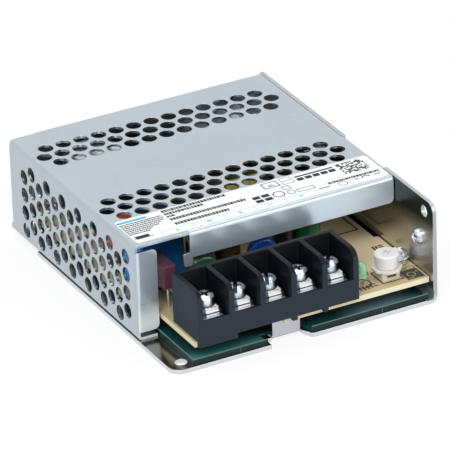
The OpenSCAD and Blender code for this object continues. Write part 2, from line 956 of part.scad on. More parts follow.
// Dipped disc on two leads, facing the front
module dipped_disc(r, t, lead_h) {
    translate([0, 0, lead_h + r])
        rotate([90, 0, 0])
            rotate_extrude() {
                translate([0, -t / 2])
                    square([r - t / 2, t]);
                translate([r - t / 2, 0])
                    circle(t / 2);
            }
    for (dx = [-r / 2, r / 2])
        translate([dx, 0, 0])
            cylinder(d = 0.7, h = lead_h + r);
}

// Shrink sleeve of an electrolytic capacitor, open at the top
module capacitor_sleeve(d, h) {
    r = d / 2;
    rotate_extrude()
        polygon([
            [0, 0], [r - 0.5, 0], [r, 0.5], [r, h - 0.6], [r - 0.6, h],
            [r - 1.2, h], [r - 1.2, h - 0.4], [r - 0.4, h - 0.8], [r - 0.4, 0.8], [0, 0.8]
        ]);
}

// Can inside that sleeve, with the crossed grooves of its vent
module capacitor_can(d, h) {
    r = d / 2;
    difference() {
        rotate_extrude()
            polygon([
                [0, 0.8], [r - 0.4, 0.8], [r - 0.4, h - 0.8], [r - 1.2, h - 0.4],
                [r - 1.2, h - 0.15], [0, h - 0.15]
            ]);
        translate([0, 0, h - 0.15])
            cross_recess(d * 0.55, 0.5, 0.3);
    }
}

// Device with a metal tab: tab at y = 0, body towards -Y, leads down to z = 0
module tab_device(lead_h) {
    difference() {
        union() {
            translate([-5, -1.3, lead_h])
                cube([10, 1.3, 15.6]);
            translate([-5, -4.5, lead_h])
                cube([10, 4, 9]);
        }
        translate([0, over, lead_h + 12.8])
            rotate([90, 0, 0])
                cylinder(d = screw_d + 0.4, h = 1.3 + 2 * over);
    }
    for (x = [-2.54, 0, 2.54])
        translate([x - 0.4, -2.9, 0])
            cube([0.8, 0.5, lead_h + over]);
}

// Small boxed capacitor that stands on its two leads
module film_capacitor() {
    color("#6d2f3c")
        translate([inner_x0 + 0.9, film_cap_y, board_top]) {
            translate([0, 0, film_cap_lead])
                linear_extrude(film_cap_h)
                    rounded_rect(film_cap_w, film_cap_l, 0.5);
            for (y = [1.6, film_cap_l - 1.6])
                translate([film_cap_w / 2, y, 0])
                    cylinder(d = 0.8, h = film_cap_lead + over);
        }
}

module x_capacitor() {
    color("#1c63a8")
        translate([inner_x0, x_cap_y, board_top])
            box_capacitor(x_cap_w, x_cap_l, x_cap_h);
}

module rear_film_capacitor() {
    color("#b8502c")
        translate([inner_x0, rear_cap_y, board_top])
            box_capacitor(9, 10, 13.5);
}

// Ceramic tube with end caps on bent leads
module input_fuse() {
    l = 9;
    axis_z = 2.6;
    color("#d8cfc0")
        translate([fuse_x, film_cap_y + 1.2, board_top]) {
            translate([0, l, axis_z])
                rotate([90, 0, 0])
                    cylinder(d = 4, h = l);
            for (y = [0, l - 1.8])
                translate([0, y + 1.8, axis_z])
                    rotate([90, 0, 0])
                        cylinder(d = 4.4, h = 1.8);
            for (y = [0.9, l - 0.9])
                translate([0, y, 0])
                    cylinder(d = 0.8, h = axis_z);
        }
}

module inrush_thermistor() {
    color("#2f5a46")
        translate([disc_x, cover_front + 4.6, board_top])
            dipped_disc(5, 4, 2.6);
}

// Closed ferrite frame with two upright legs
module choke_core() {
    color(ferrite)
        translate([choke_x, choke_y + 1.5, board_top])
            rotate([90, 0, 0])
                linear_extrude(3)
                    difference() {
                        translate([-6.8, 0])
                            square([13.6, 14.4]);
                        translate([-2.8, 2.2])
                            square([5.6, 10]);
                        for (x = [-6.8 - over, 5.8])
                            translate([x, 2.2])
                                square([1 + over, 10]);
                    }
}

// The two legs, each with its coil
module choke_windings() {
    color(copper)
        for (x = [-4.3, 4.3])
            translate([choke_x + x, choke_y, board_top + 2.4])
                difference() {
                    cylinder(d = 7.6, h = 9.6);
                    translate([0, 0, -over])
                        cylinder(d = 4.4, h = 9.6 + 2 * over);
                }
}

module y_capacitor() {
    color("#1f5fc4")
        translate([y_cap_x, cover_front + 8, board_top])
            dipped_disc(4.6, 3, 1.4);
}

// Small upright electrolytic capacitor in one sleeve
module auxiliary_capacitor() {
    color("#202226")
        translate([y_cap_x + 8.1, low_cap_y, board_top])
            rotate_extrude()
                polygon([[0, 0], [2.8, 0], [3, 0.3], [3, 10.6], [2.6, 11], [2, 11], [2, 10.8], [0, 10.8]]);
}

module output_capacitor_sleeves() {
    color("#1f7a52") {
        translate([low_cap_x, low_cap_y, board_top])
            capacitor_sleeve(low_cap_d, low_cap_h);
        translate([tall_cap_x, tall_cap_y, board_top])
            capacitor_sleeve(out_cap_d, tall_h);
    }
}

module output_capacitor_cans() {
    color(zinc) {
        translate([low_cap_x, low_cap_y, board_top])
            capacitor_can(low_cap_d, low_cap_h);
        translate([tall_cap_x, tall_cap_y, board_top])
            capacitor_can(out_cap_d, tall_h);
    }
}

module bulk_capacitor_sleeve() {
    color("#1b1d22")
        translate([bulk_x, bulk_y, board_top])
            capacitor_sleeve(bulk_d, tall_h);
}

module bulk_capacitor_can() {
    color(zinc)
        translate([bulk_x, bulk_y, board_top])
            capacitor_can(bulk_d, tall_h);
}

// Transformer, lying with its centre leg along X

module transformer_core() {
    color(ferrite)
        translate([core_x, core_y, core_z])
            linear_extrude(core_t)
                difference() {
                    square([core_l, core_w], center = true);
                    for (side = [-1, 1])
                        translate([0, side * (core_leg + core_window_w) / 2])
                            square([core_window_l, core_window_w], center = true);
                }
}

// Hole of the coil and the bobbin round the core's centre leg
module centre_leg_hole() {
    translate([-core_l, -core_leg / 2 - coil_hole_gap, core_z - coil_hole_gap])
        cube([2 * core_l, core_leg + 2 * coil_hole_gap, core_t + 2 * coil_hole_gap]);
}

module transformer_winding() {
    l = core_window_l - 2 * coil_flange_t - 0.4;
    coil_z = core_z + core_t / 2 - coil_t / 2;
    color("#d9bd3a")
        translate([core_x, core_y, 0])
            difference() {
                translate([-l / 2, -coil_w / 2, coil_z])
                    along_x(l)
                        rounded_rect(coil_w, coil_t, 2);
                centre_leg_hole();
            }
}

// End flanges on pin rails
module transformer_bobbin() {
    flange_z = core_z + core_t / 2 + coil_t / 2 + 0.6;
    flange_x = core_window_l / 2 - coil_flange_t - 0.1;
    color("#26282b")
        translate([core_x, core_y, 0])
            difference() {
                for (side = [0, 1])
                    mirror([side, 0, 0]) {
                        translate([flange_x, -coil_w / 2 - 0.1, board_top])
                            cube([coil_flange_t, coil_w + 0.2, flange_z - board_top]);
                        translate([flange_x, -core_w / 2 + 0.5, board_top])
                            cube([core_yoke + coil_flange_t, core_w - 1, 3]);
                    }
                centre_leg_hole();
            }
}

// Flat upright rectifier with one bevelled corner
module bridge_rectifier() {
    lead_h = 2.5;
    color("#232529")
        translate([bulk_x + bulk_d / 2 + 3, board_y1 - 5, board_top]) {
            translate([0, 0, lead_h])
                rotate([90, 0, 0])
                    linear_extrude(3.6)
                        polygon([[0, 0], [14.5, 0], [14.5, 10.5], [2.6, 10.5], [0, 7.9]]);
            for (x = [1.2 : 3.9 : 13.5])
                translate([x, -2.2, 0])
                    cube([0.9, 0.7, lead_h + over]);
        }
}

// Finned plate; the transistor's tab lies on its plain face
module heat_sink() {
    plate_t = 2;
    fins = 5;
    color(aluminium)
        difference() {
            translate([sink_x, sink_y, board_top])
                linear_extrude(tall_h - 1) {
                    square([plate_t, sink_l]);
                    for (i = [0 : fins - 1])
                        translate([0, i * (sink_l - 1.2) / (fins - 1)])
                            square([plate_t + sink_fin_l, 1.2]);
                }
            translate([sink_x - over, transistor_y, device_screw_z])
                rotate([0, 90, 0])
                    cylinder(d = screw_d + 2 * screw_gap, h = plate_t + 2 * over);
        }
}

module power_transistor() {
    color("#2a2c30")
        translate([sink_x, transistor_y, board_top])
            rotate(-90)
                tab_device(device_lead_h);
}

module output_rectifier() {
    color("#2a2c30")
        translate([wall_in, rectifier_y, board_top])
            rotate(-90)
                tab_device(device_lead_h);
}

// Screws that hold the transistor to its heat sink and the rectifier to the chassis wall
module device_screws() {
    color(zinc) {
        translate([sink_x - 1.3, transistor_y, device_screw_z])
            rotate([0, -90, 0])
                pan_screw(screw_d, 3.2, pan_d, pan_h);
        translate([wall_in - 1.3, rectifier_y, device_screw_z])
            rotate([0, -90, 0])
                pan_screw(screw_d, chassis_t + 1.2, pan_d, pan_h);
    }
}

// Wound drum
module output_choke() {
    color("#4a3a30")
        translate([tall_cap_x - 1.5, tall_cap_y + out_cap_d / 2 + room_l * 0.09, board_top])
            rotate_extrude()
                polygon([[0, 0], [4.2, 0], [4.2, 1.2], [3.6, 1.2], [3.6, 8.8], [4.2, 8.8], [4.2, 10], [0, 10]]);
}

module optocoupler() {
    color("#e6e4dd")
        translate([sink_x - 9, core_y + core_w / 2 + 4.5, board_top]) {
            translate([-3.25, -2.3, 0.8])
                cube([6.5, 4.6, 3.2]);
            for (x = [-1.27, 1.27], side = [-1, 1])
                translate([x - 0.3, side * 2.55 - 0.25, 0])
                    cube([0.6, 0.5, 2.4]);
        }
}

// Axial resistors lying side by side to the right of the rear film capacitor
module resistors() {
    pitch = 3.6;
    axis_z = 1.8;
    color("#9fb8c0")
        for (i = [0 : 2])
            translate([inner_x0 + 16, rear_cap_y + 2 + i * pitch, board_top]) {
                translate([-3.2, 0, axis_z])
                    rotate([0, 90, 0])
                        cylinder(d = 2.4, h = 6.4);
                translate([-4.6, 0, axis_z])
                    rotate([0, 90, 0])
                        cylinder(d = 0.7, h = 9.2);
                for (x = [-4.4, 4.4])
                    translate([x, 0, 0])
                        cylinder(d = 0.7, h = axis_z + 0.35);
            }
}

chassis();
cover();
cover_screws();
insulation_film();
rating_label();
circuit_board();
board_standoffs();
board_screws();
wall_screw();
terminal_housing();
terminal_contacts();
terminal_screw(1);  // terminal_screw_1
terminal_screw(2);  // terminal_screw_2
terminal_screw(3);  // terminal_screw_3
terminal_screw(4);  // terminal_screw_4
terminal_screw(5);  // terminal_screw_5
clamp_plate(1);  // clamp_plate_1
clamp_plate(2);  // clamp_plate_2
clamp_plate(3);  // clamp_plate_3
clamp_plate(4);  // clamp_plate_4
clamp_plate(5);  // clamp_plate_5
trimmer_base();
trimmer_knob();
status_led();
led_leads();
film_capacitor();
x_capacitor();
rear_film_capacitor();
input_fuse();
inrush_thermistor();
choke_core();
choke_windings();
y_capacitor();
auxiliary_capacitor();
output_capacitor_sleeves();
output_capacitor_cans();
bulk_capacitor_sleeve();
bulk_capacitor_can();
transformer_core();
transformer_bobbin();
transformer_winding();
bridge_rectifier();
heat_sink();
power_transistor();
output_rectifier();
device_screws();
output_choke();
optocoupler();
resistors();
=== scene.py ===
# %% [markdown]
# # A panel-mount power supply, dressed for the studio
# The imported model is the skeleton of this lesson: every sheet, screw and capacitor already lies in its
# place, in metres, so nothing has to be fitted by eye. Its box is kept.

# %% Load the frame
import math
import random
import bmesh
import bpy
from mathutils import Matrix, Quaternion, Vector


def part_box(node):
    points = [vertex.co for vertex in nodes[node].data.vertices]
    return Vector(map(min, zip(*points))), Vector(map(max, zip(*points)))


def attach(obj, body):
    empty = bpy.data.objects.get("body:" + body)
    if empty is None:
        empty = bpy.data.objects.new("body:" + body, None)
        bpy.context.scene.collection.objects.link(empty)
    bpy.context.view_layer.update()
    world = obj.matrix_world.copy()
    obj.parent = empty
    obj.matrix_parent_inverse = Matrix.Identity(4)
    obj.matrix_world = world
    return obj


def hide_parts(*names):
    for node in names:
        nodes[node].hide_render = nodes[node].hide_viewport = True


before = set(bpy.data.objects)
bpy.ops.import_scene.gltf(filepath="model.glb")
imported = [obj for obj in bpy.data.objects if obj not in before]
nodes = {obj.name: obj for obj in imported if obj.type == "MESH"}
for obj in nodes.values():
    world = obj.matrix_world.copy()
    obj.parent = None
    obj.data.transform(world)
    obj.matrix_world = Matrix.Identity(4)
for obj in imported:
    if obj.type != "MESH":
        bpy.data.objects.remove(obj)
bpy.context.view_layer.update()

MM = 0.001

# %% [markdown]
# ## The camera
# A small object is photographed from far away with a long lens, which keeps parallel edges nearly parallel.
# The spot, the lens and the small roll were solved from the corners of the case, so the camera is written
# as numbers.

# %% Place the camera
def linked(name, data):
    """A new object at the origin, linked to the scene."""
    thing = bpy.data.objects.new(name, data)
    bpy.context.scene.collection.objects.link(thing)
    return thing


camera_data = bpy.data.cameras.new("studio_camera")
camera_data.sensor_width = 36.0
camera_data.lens = 439.6
camera_data.clip_end = 20.0
camera = linked("studio_camera", camera_data)
camera.location = (-0.62152, -1.21194, 0.71204)
sight_line, roll = Vector((0.40674, 0.79129, -0.45654)), math.radians(-2.03)
camera.rotation_mode = "QUATERNION"
camera.rotation_quaternion = sight_line.to_track_quat("-Z", "Y") @ Quaternion((0, 0, 1), roll)
bpy.context.scene.camera = camera
bpy.context.scene.view_settings.view_transform = "Standard"
print("camera at", [round(x, 3) for x in camera.location])

# %% [markdown]
# ## Building node trees
# Every material and Geometry Nodes tree below is made of three moves: add a node, set its properties, and
# type a value into a socket or link one. One helper does all three, and a few more name the commonest
# nodes.

# %% Helpers for node trees
def put(tree, kind, sockets=None, **properties):
    """Adds a node and returns its outputs; another node's output is linked, any other value is typed in."""
    made = tree.nodes.new(kind)
    for key, value in properties.items():
        setattr(made, key, value)
    for key, value in (sockets or {}).items():
        if isinstance(value, bpy.types.NodeSocket):
            tree.links.new(value, made.inputs[key])
        else:
            made.inputs[key].default_value = value
    return made.outputs


def maths(tree, operation, *values, clamp=False):
    """The result of one Math node."""
    return put(tree, "ShaderNodeMath", dict(enumerate(values)), operation=operation, use_clamp=clamp)[0]


def dot(tree, first, second):
    """How far one direction reaches along another."""
    return put(tree, "ShaderNodeVectorMath", {0: first, 1: second}, operation="DOT_PRODUCT")["Value"]


def mix(tree, factor, first, second, kind="RGBA"):
    """The result of one Mix node; colours and plain values have sockets of their own."""
    a, b, out = (6, 7, 2) if kind == "RGBA" else (2, 3, 0)
    return put(tree, "ShaderNodeMix", {"Factor": factor, a: first, b: second}, data_type=kind)[out]


def bare_tree(owner):
    """The emptied node tree of a material or a world."""
    owner.use_nodes = True
    owner.node_tree.nodes.clear()
    return owner.node_tree


def srgb(*colour):
    """A colour read off a screen, 0 to 255, as linear numbers."""
    return tuple(c / 255 / 12.92 if c < 11 else ((c / 255 + 0.055) / 1.055) ** 2.4 for c in colour) + (1,)


print("helpers ready")

# %% [markdown]
# ## Floor, backdrop and light
# The object lies on a white sweep. A floor lit until it is white would flood the object with light, so it
# shows its white only to rays that look at it: the camera's, and those mirrored or bent on the way. A share
# of its shading stays, as the soft shadow under the plate. The world does the same and stays a modest grey
# for all other rays.

# %% Floor and world
def seen_rays(tree):
    """1 for rays that look at the backdrop."""
    path = put(tree, "ShaderNodeLightPath")
    mirrored = maths(tree, "MAXIMUM", path["Is Camera Ray"], path["Is Glossy Ray"])
    return maths(tree, "MAXIMUM", mirrored, path["Is Transmission Ray"])


square, reach, drop = ((-1, -1), (1, -1), (1, 1), (-1, 1)), 4.0, 0.1 * MM
white, white_share = (1, 1, 1, 1), 0.8
floor_mesh = bpy.data.meshes.new("floor")
floor_mesh.from_pydata([(reach * x, reach * y, -drop) for x, y in square], [], [(0, 1, 2, 3)])
floor = linked("floor", floor_mesh)
sweep = bpy.data.materials.new("white_sweep")
tree = bare_tree(sweep)
paper = put(tree, "ShaderNodeBsdfDiffuse", {"Color": (0.9, 0.9, 0.9, 1)})[0]
glow = put(tree, "ShaderNodeEmission", {"Color": white, "Strength": 1.0})[0]
share = maths(tree, "MULTIPLY", seen_rays(tree), white_share)
blend = put(tree, "ShaderNodeMixShader", {0: share, 1: paper, 2: glow})[0]
put(tree, "ShaderNodeOutputMaterial", {"Surface": blend})
floor_mesh.materials.append(sweep)

world = bpy.data.worlds.new("studio")
bpy.context.scene.world = world
tree = bare_tree(world)
dim, bright = (put(tree, "ShaderNodeBackground", {"Color": colour, "Strength": strength})[0]
               for colour, strength in (((0.97, 0.985, 1, 1), 0.5), (white, 1.0)))
blend = put(tree, "ShaderNodeMixShader", {0: seen_rays(tree), 1: dim, 2: bright})[0]
put(tree, "ShaderNodeOutputWorld", {"Surface": blend})
print("floor", 2 * reach, "m wide")

# %% [markdown]
# Three large soft boxes do the rest: one above and left of the camera, which draws the bright edges of the
# bends, a weaker one on the right that opens the shade under the cover, and one overhead. They are large
# for the object, so the highlights on the screws are broad.

# %% Lamps
aim = Vector((0, 0, 0.015))


def softbox(name, place, size, watts):
    """A square area lamp that faces the object."""
    data = bpy.data.lights.new(name, "AREA")
    data.size, data.energy = size, watts
    lamp = linked(name, data)
    lamp.location = place
    lamp.rotation_euler = (aim - Vector(place)).to_track_quat("-Z", "Y").to_euler()


softbox("key_softbox", (-0.45, -0.55, 0.75), 0.5, 5.8)
softbox("fill_softbox", (0.6, -0.6, 0.45), 0.5, 2.2)
softbox("top_softbox", (0.1, 0.3, 0.9), 0.6, 2.6)
print("three soft boxes")

# %% [markdown]
# ## Shared effects
# Seven effects come back again and again, so each is a node group with its own dials. Three are surfaces:
# moulded parts have a fine grain, rolled sheet has streaks and smudges, and plated screws shift between
# silver and blue. One eases cut and bent edges and gives a mask along them, with which a finish paints a
# highlight on the edges. Three are masks: a slice of the object, faces that look one way, and the sheared
# edges of the sheet.

# %% Helpers for shader groups
def new_group(name, inputs, outputs):
    """A shader group with named sockets, its dials and its results."""
    group = bpy.data.node_groups.new(name, "ShaderNodeTree")
    kinds = {float: "NodeSocketFloat", tuple: "NodeSocketColor", list: "NodeSocketVector"}
    for label, value in inputs.items():
        socket = group.interface.new_socket(name=label, in_out="INPUT", socket_type=kinds[type(value)])
        socket.default_value = value
    for label, kind in outputs.items():
        group.interface.new_socket(name=label, in_out="OUTPUT", socket_type="NodeSocket" + kind)
    return group, group.nodes.new("NodeGroupInput").outputs, group.nodes.new("NodeGroupOutput").inputs


def give(group, result, **values):
    """Links values to the group's results and returns the finished group."""
    for label, value in values.items():
        group.links.new(value, result[label])
    print(group.name + ":", len(group.nodes), "nodes")
    return group


def coordinate(tree, kind="Object"):
    """Where a point lies on the object, or which way its face looks."""
    return put(tree, "ShaderNodeTexCoord")[kind]


def noise(tree, vector, scale, detail=2.0):
    """Noise round zero."""
    texture = put(tree, "ShaderNodeTexNoise", {"Vector": vector, "Scale": scale, "Detail": detail})
    return maths(tree, "SUBTRACT", texture[0], 0.5)


def mottle(tree, dial, result, fine, broad):
    """Lets a fine and a broad noise move colour and roughness; the fine one is the relief as well."""
    both = maths(tree, "ADD", fine, broad)
    lighter = maths(tree, "ADD", maths(tree, "MULTIPLY", both, dial["Tone"]), 1.0)
    scaled = put(tree, "ShaderNodeVectorMath", {0: dial["Color"], "Scale": lighter}, operation="SCALE")
    rough = maths(tree, "MULTIPLY_ADD", both, dial["Spread"], dial["Roughness"])
    return give(tree, result, Color=scaled["Vector"], Roughness=rough, Height=fine)


surface = {"Color": "Color", "Roughness": "Float", "Height": "Float"}
print("group helpers ready")

# %% Group for moulded parts
tree, dial, result = new_group("Moulded grain", {
    "Color": (0.5, 0.5, 0.5, 1), "Grain Scale": 4000.0, "Tone": 0.1, "Roughness": 0.5, "Spread": 0.1},
    surface)
place = coordinate(tree)
fine = noise(tree, place, dial["Grain Scale"])
grain_group = mottle(tree, dial, result, fine, noise(tree, place, 120.0, 3.0))

# %% Group for rolled sheet
tree, dial, result = new_group("Rolled sheet", {
    "Color": (0.6, 0.6, 0.6, 1), "Stretch": [60.0, 60.0, 60.0], "Tone": 0.1, "Roughness": 0.3, "Spread": 0.1},
    surface)
place = coordinate(tree)
drawn = put(tree, "ShaderNodeVectorMath", {0: place, 1: dial["Stretch"]}, operation="MULTIPLY")[0]
streaks = noise(tree, drawn, 1.0, 4.0)
sheet_group = mottle(tree, dial, result, streaks, noise(tree, place, 45.0, 3.0))

# %% Group for plating
tree, dial, result = new_group("Plating tint", {
    "Color": (0.8, 0.8, 0.8, 1), "Tint": (0.35, 0.6, 0.9, 1), "Amount": 0.5, "Scale": 500.0,
    "Roughness": 0.2}, surface)
place = coordinate(tree)
cloud = maths(tree, "MULTIPLY_ADD", noise(tree, place, dial["Scale"]), 4.0, 0.3, clamp=True)
colour = mix(tree, maths(tree, "MULTIPLY", cloud, dial["Amount"]), dial["Color"], dial["Tint"])
scratch = noise(tree, place, 6000.0)
rough = maths(tree, "MULTIPLY_ADD", scratch, 0.12, dial["Roughness"])
plating_group = give(tree, result, Color=colour, Roughness=rough, Height=scratch)

# %% Group for eased edges and their painted highlight
tree, dial, result = new_group("Eased edge highlight", {"Width": 0.0002}, {"Mask": "Float", "Normal": "Vector"})
eased = put(tree, "ShaderNodeBevel", {"Radius": dial["Width"]}, samples=4)[0]
flat = put(tree, "ShaderNodeNewGeometry")["Normal"]
agree = dot(tree, eased, flat)
turned = put(tree, "ShaderNodeMapRange", {"Value": agree, "From Min": 0.99, "From Max": 0.8})[0]
edge_group = give(tree, result, Mask=turned, Normal=eased)

# %% Groups for masks
mask_only = {"Mask": "Float"}
tree, dial, result = new_group("Zone mask", {
    "Direction": [1.0, 0.0, 0.0], "Start": 0.0, "End": 1.0, "Blur": 0.00005}, mask_only)
along = dot(tree, coordinate(tree), dial["Direction"])
lower = maths(tree, "SUBTRACT", dial["Start"], dial["Blur"])
upper = maths(tree, "ADD", dial["End"], dial["Blur"])
rise, fall = (put(tree, "ShaderNodeMapRange", {"Value": along, "From Min": outer, "From Max": inner})[0]
              for outer, inner in ((lower, dial["Start"]), (upper, dial["End"])))
zone_group = give(tree, result, Mask=maths(tree, "MULTIPLY", rise, fall))

tree, dial, result = new_group("Facing mask", {"Direction": [0.0, 1.0, 0.0], "Least": 0.8}, mask_only)
share = maths(tree, "ABSOLUTE", dot(tree, coordinate(tree, "Normal"), dial["Direction"]))
facing_group = give(tree, result, Mask=maths(tree, "GREATER_THAN", share, dial["Least"]))

tree, dial, result = new_group("Sheared edge", {"Level": 0.0014}, mask_only)
looks, lies = (put(tree, "ShaderNodeSeparateXYZ", {0: coordinate(tree, kind)})
               for kind in ("Normal", "Object"))
in_plate = maths(tree, "LESS_THAN", lies["Z"], dial["Level"])
of_wall, of_plate = (maths(tree, "LESS_THAN", maths(tree, "ABSOLUTE", looks[axis]), 0.5)
                     for axis in ("X", "Z"))
shear_group = give(tree, result, Mask=mix(tree, in_plate, of_wall, of_plate, "FLOAT"))

# %% [markdown]
# ## Finishes
# Each finish is one Principled shader that reads one of the groups. What is the same all over, such as the
# metallic share, is typed into the shader, and only what changes is linked. A second colour can be laid
# over a finish wherever a mask says so.

# %% Helpers for finishes
def finish(name, group, colour, roughness, dials, metallic=0.0, bump=0.0, edge=0.0, bright=0.0, **shader):
    """A material from a group; its edges are eased, in millimetres, and given a painted highlight. Further
    values are typed into the shader."""
    material = bpy.data.materials.new(name)
    tree = bare_tree(material)
    dials = {"Color": srgb(*colour), "Roughness": roughness, **dials}
    face = put(tree, "ShaderNodeGroup", dials, node_tree=group)
    colour, normal = face["Color"], {}
    if edge:
        edge_rim = put(tree, "ShaderNodeGroup", {"Width": edge * MM}, node_tree=edge_group)
        normal = {"Normal": edge_rim["Normal"]}
        if bright:
            colour = mix(tree, maths(tree, "MULTIPLY", edge_rim["Mask"], bright), colour, white)
    if bump:
        relief = {"Height": face["Height"], "Strength": bump, "Distance": 0.05 * MM, **normal}
        normal = {"Normal": put(tree, "ShaderNodeBump", relief)[0]}
    typed = {label.replace("_", " "): value for label, value in shader.items()}
    shaded = put(tree, "ShaderNodeBsdfPrincipled", {
        "Base Color": colour, "Metallic": metallic, "Roughness": face["Roughness"], **normal, **typed})
    put(tree, "ShaderNodeOutputMaterial", {"Surface": shaded[0]})
    return material


def moulded(name, colour, roughness=0.45, grain=4000.0, tone=0.12, spread=0.1, bump=0.15, **more):
    """Plastic, lacquer, laminate or paper."""
    dials = {"Grain Scale": grain, "Tone": tone, "Spread": spread}
    return finish(name, grain_group, colour, roughness, dials, bump=bump, **more)


def rolled(name, colour, roughness, stretch, tone=0.06, spread=0.1, **more):
    """Bare or coated metal sheet."""
    dials = {"Stretch": stretch, "Tone": tone, "Spread": spread}
    return finish(name, sheet_group, colour, roughness, dials, metallic=1.0, bump=0.04, **more)


def plated(name, colour, tint, amount=0.5, roughness=0.16, metallic=1.0, **more):
    """Zinc or tin plating."""
    dials = {"Tint": srgb(*tint), "Amount": amount}
    return finish(name, plating_group, colour, roughness, dials, metallic=metallic, bump=0.03, **more)


print("three kinds of finish")

# %% Helpers for masks and dressing
X, Y, Z = (1, 0, 0), (0, 1, 0), (0, 0, 1)
crisp = 0.05


def mask_of(tree, direction, *span):
    """Faces that look along a direction or, with a start, an end and perhaps a blur in millimetres, a slice
    of the object; "sheared" is the cut edges of the chassis and "recess" the driven faces of a screw."""
    if direction == "recess":
        return put(tree, "ShaderNodeAttribute", attribute_name="recess")["Fac"]
    if direction == "sheared":
        return put(tree, "ShaderNodeGroup", node_tree=shear_group)[0]
    if not span:
        return put(tree, "ShaderNodeGroup", {"Direction": direction}, node_tree=facing_group)[0]
    start, end, blur = (v * MM for v in (*span, crisp)[:3])
    return put(tree, "ShaderNodeGroup", {"Direction": direction, "Start": start, "End": end, "Blur": blur},
               node_tree=zone_group)[0]


def overlay(material, masks, colour, metallic=None, roughness=None, meeting="MAXIMUM"):
    """Lays another colour over the finish where at least one of the masks is 1."""
    tree = material.node_tree
    principled = next(n for n in tree.nodes if n.type == "BSDF_PRINCIPLED")
    total, *others = [mask_of(tree, *mask) for mask in masks]
    for mask in others:
        total = maths(tree, meeting, total, mask)
    for label, value in (("Base Color", srgb(*colour)), ("Metallic", metallic), ("Roughness", roughness)):
        if value is not None:
            socket = principled.inputs[label]
            before = socket.links[0].from_socket if socket.is_linked else socket.default_value
            kind = "RGBA" if label == "Base Color" else "FLOAT"
            tree.links.new(mix(tree, total, before, value, kind), socket)
    return material


def patch(*what):
    """Like overlay, but only where all the masks meet."""
    return overlay(*what, meeting="MINIMUM")


def dress(material, *names):
    """Gives CAD nodes their finish."""
    for name in names:
        nodes[name].data.materials.clear()
        nodes[name].data.materials.append(material)


def box_mm(node):
    """The lowest and the highest corner of a CAD node, in millimetres."""
    return [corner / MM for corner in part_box(node)]


print("finishes can be mixed and given")

# %% [markdown]
# ### The cover
# Zinc-coated steel is a satin, slightly blue grey. The front flange is smoother and shows the terminals
# below it softly; its foot and right end are painted lighter, a painted reflection. Inside, the back is
# painted light on the right, a painted pool of light where only low parts stand.

# %% Cover
cover_low, cover_high = box_mm("cover")
front = (Y, cover_low.y - 1, cover_low.y + 0.1, 0.6)
flange_end, flange_foot = (X, 34, 45, 24), (Z, 1, 7, 5)
back_inside, right_side = (Y, cover_high.y - 2.5, cover_high.y - 0.7), (X, 18, 60, 6)
cover_steel = rolled("cover_steel", (182, 192, 199), 0.3, [500.0, 900.0, 900.0], edge=0.15, bright=0.4)
patch(cover_steel, [(Y,), front], (204, 218, 230), 0.7, 0.26)
# painted light inside the back on the right, and a painted reflection at the front flange's right end and
# foot
patch(cover_steel, [(Y,), back_inside, right_side], (210, 228, 244), 0.3, 0.6)
patch(cover_steel, [(Y,), front, flange_end], (204, 214, 222), 0.42)
patch(cover_steel, [(Y,), front, flange_foot], (232, 238, 240), 0.2, 0.5)
dress(cover_steel, "cover")
print("cover", [round(v, 1) for v in cover_high - cover_low], "mm")

# %% [markdown]
# ### The chassis
# Aluminium as it leaves the rolling mill has long streaks and mirrors the film and the board beside it. Its
# sheared edges are pale and matt. The wall is duller in front, where it is handled; near its front top it
# carries a painted dark reflection, and the bend at its foot a painted shade.

# %% Chassis
chassis_high = box_mm("chassis")[1]
sheet = 1.2
wall, above = chassis_high.x - sheet, chassis_high.z + 1
wall_face, wall_rise, wall_top = (X, wall - 0.8, wall + 0.1), (Z, 3, above), (Z, 24, above, 5)
wall_front, wall_back = (Y, -60, -28, 2), (Y, -24, 60, 12)
wall_edge = [("sheared",), (X, wall - 0.3, wall + 2.2), (*wall_rise, 2)]
bend = [(X, wall - 2.2, wall + 0.1), (Z, sheet - 0.1, 4)]
board_tab = [(X, -20, 20), (Y, -46.5, -44.2), (Z, sheet + 0.1, 6)]
chassis_metal = rolled("chassis_aluminium", (158, 157, 154), 0.18, [2500.0, 60.0, 2500.0], tone=0.1,
                       spread=0.08, edge=0.2, bright=0.5)
overlay(chassis_metal, [("sheared",)], (215, 219, 223), None, 0.4)
patch(chassis_metal, board_tab, (194, 194, 202))
patch(chassis_metal, wall_edge, (176, 181, 185))
patch(chassis_metal, [wall_face, wall_rise], (202, 202, 198), None, 0.34)
patch(chassis_metal, [wall_face, wall_rise, wall_back], (202, 202, 198), None, 0.16)
# painted dark reflection near the wall's front top, and painted shade on the bend at its foot
patch(chassis_metal, [wall_face, wall_top, wall_front], (74, 86, 84))
patch(chassis_metal, bend, (116, 128, 128), 0.4, 0.4)
dress(chassis_metal, "chassis")
print("wall face at", round(wall, 2), "mm")

# %% [markdown]
# ### Heat sink, cans and plating
# The heat sink is extruded and the cans are drawn, so their streaks run upwards. Screws, standoffs and
# contacts are plated with zinc and leads with tin. Plating is thin where the punch drove a cross, which is
# pale on the case screws; on the clamp screws the cross carries a painted shade, and a band under each head
# a painted shadow.

# %% Heat sink and cans
sink_metal = rolled("sink_aluminium", (196, 208, 220), 0.4, [3000.0, 3000.0, 40.0])
dress(overlay(sink_metal, [(Z, 20, 40, 4)], (214, 228, 240), 0.35, 0.5), "heat_sink")
drawn = {"stretch": [1500.0, 1500.0, 80.0], "edge": 0.1, "bright": 0.3}
dress(rolled("can_aluminium", (214, 216, 220), 0.22, **drawn), "bulk_capacitor_can")
output_can_with_painted_glint = rolled("bright_can_aluminium", (226, 232, 238), 0.3, **drawn)
# painted highlight: the cans' tops at the right are whiter and less metallic, a painted glint
patch(output_can_with_painted_glint, [(Z, 25, 30, 1), (X, 33.4, 45, 0.6)], (240, 246, 250), 0.25, 0.5)
dress(output_can_with_painted_glint, "output_capacitor_cans")
print("heat sink and cans dressed")

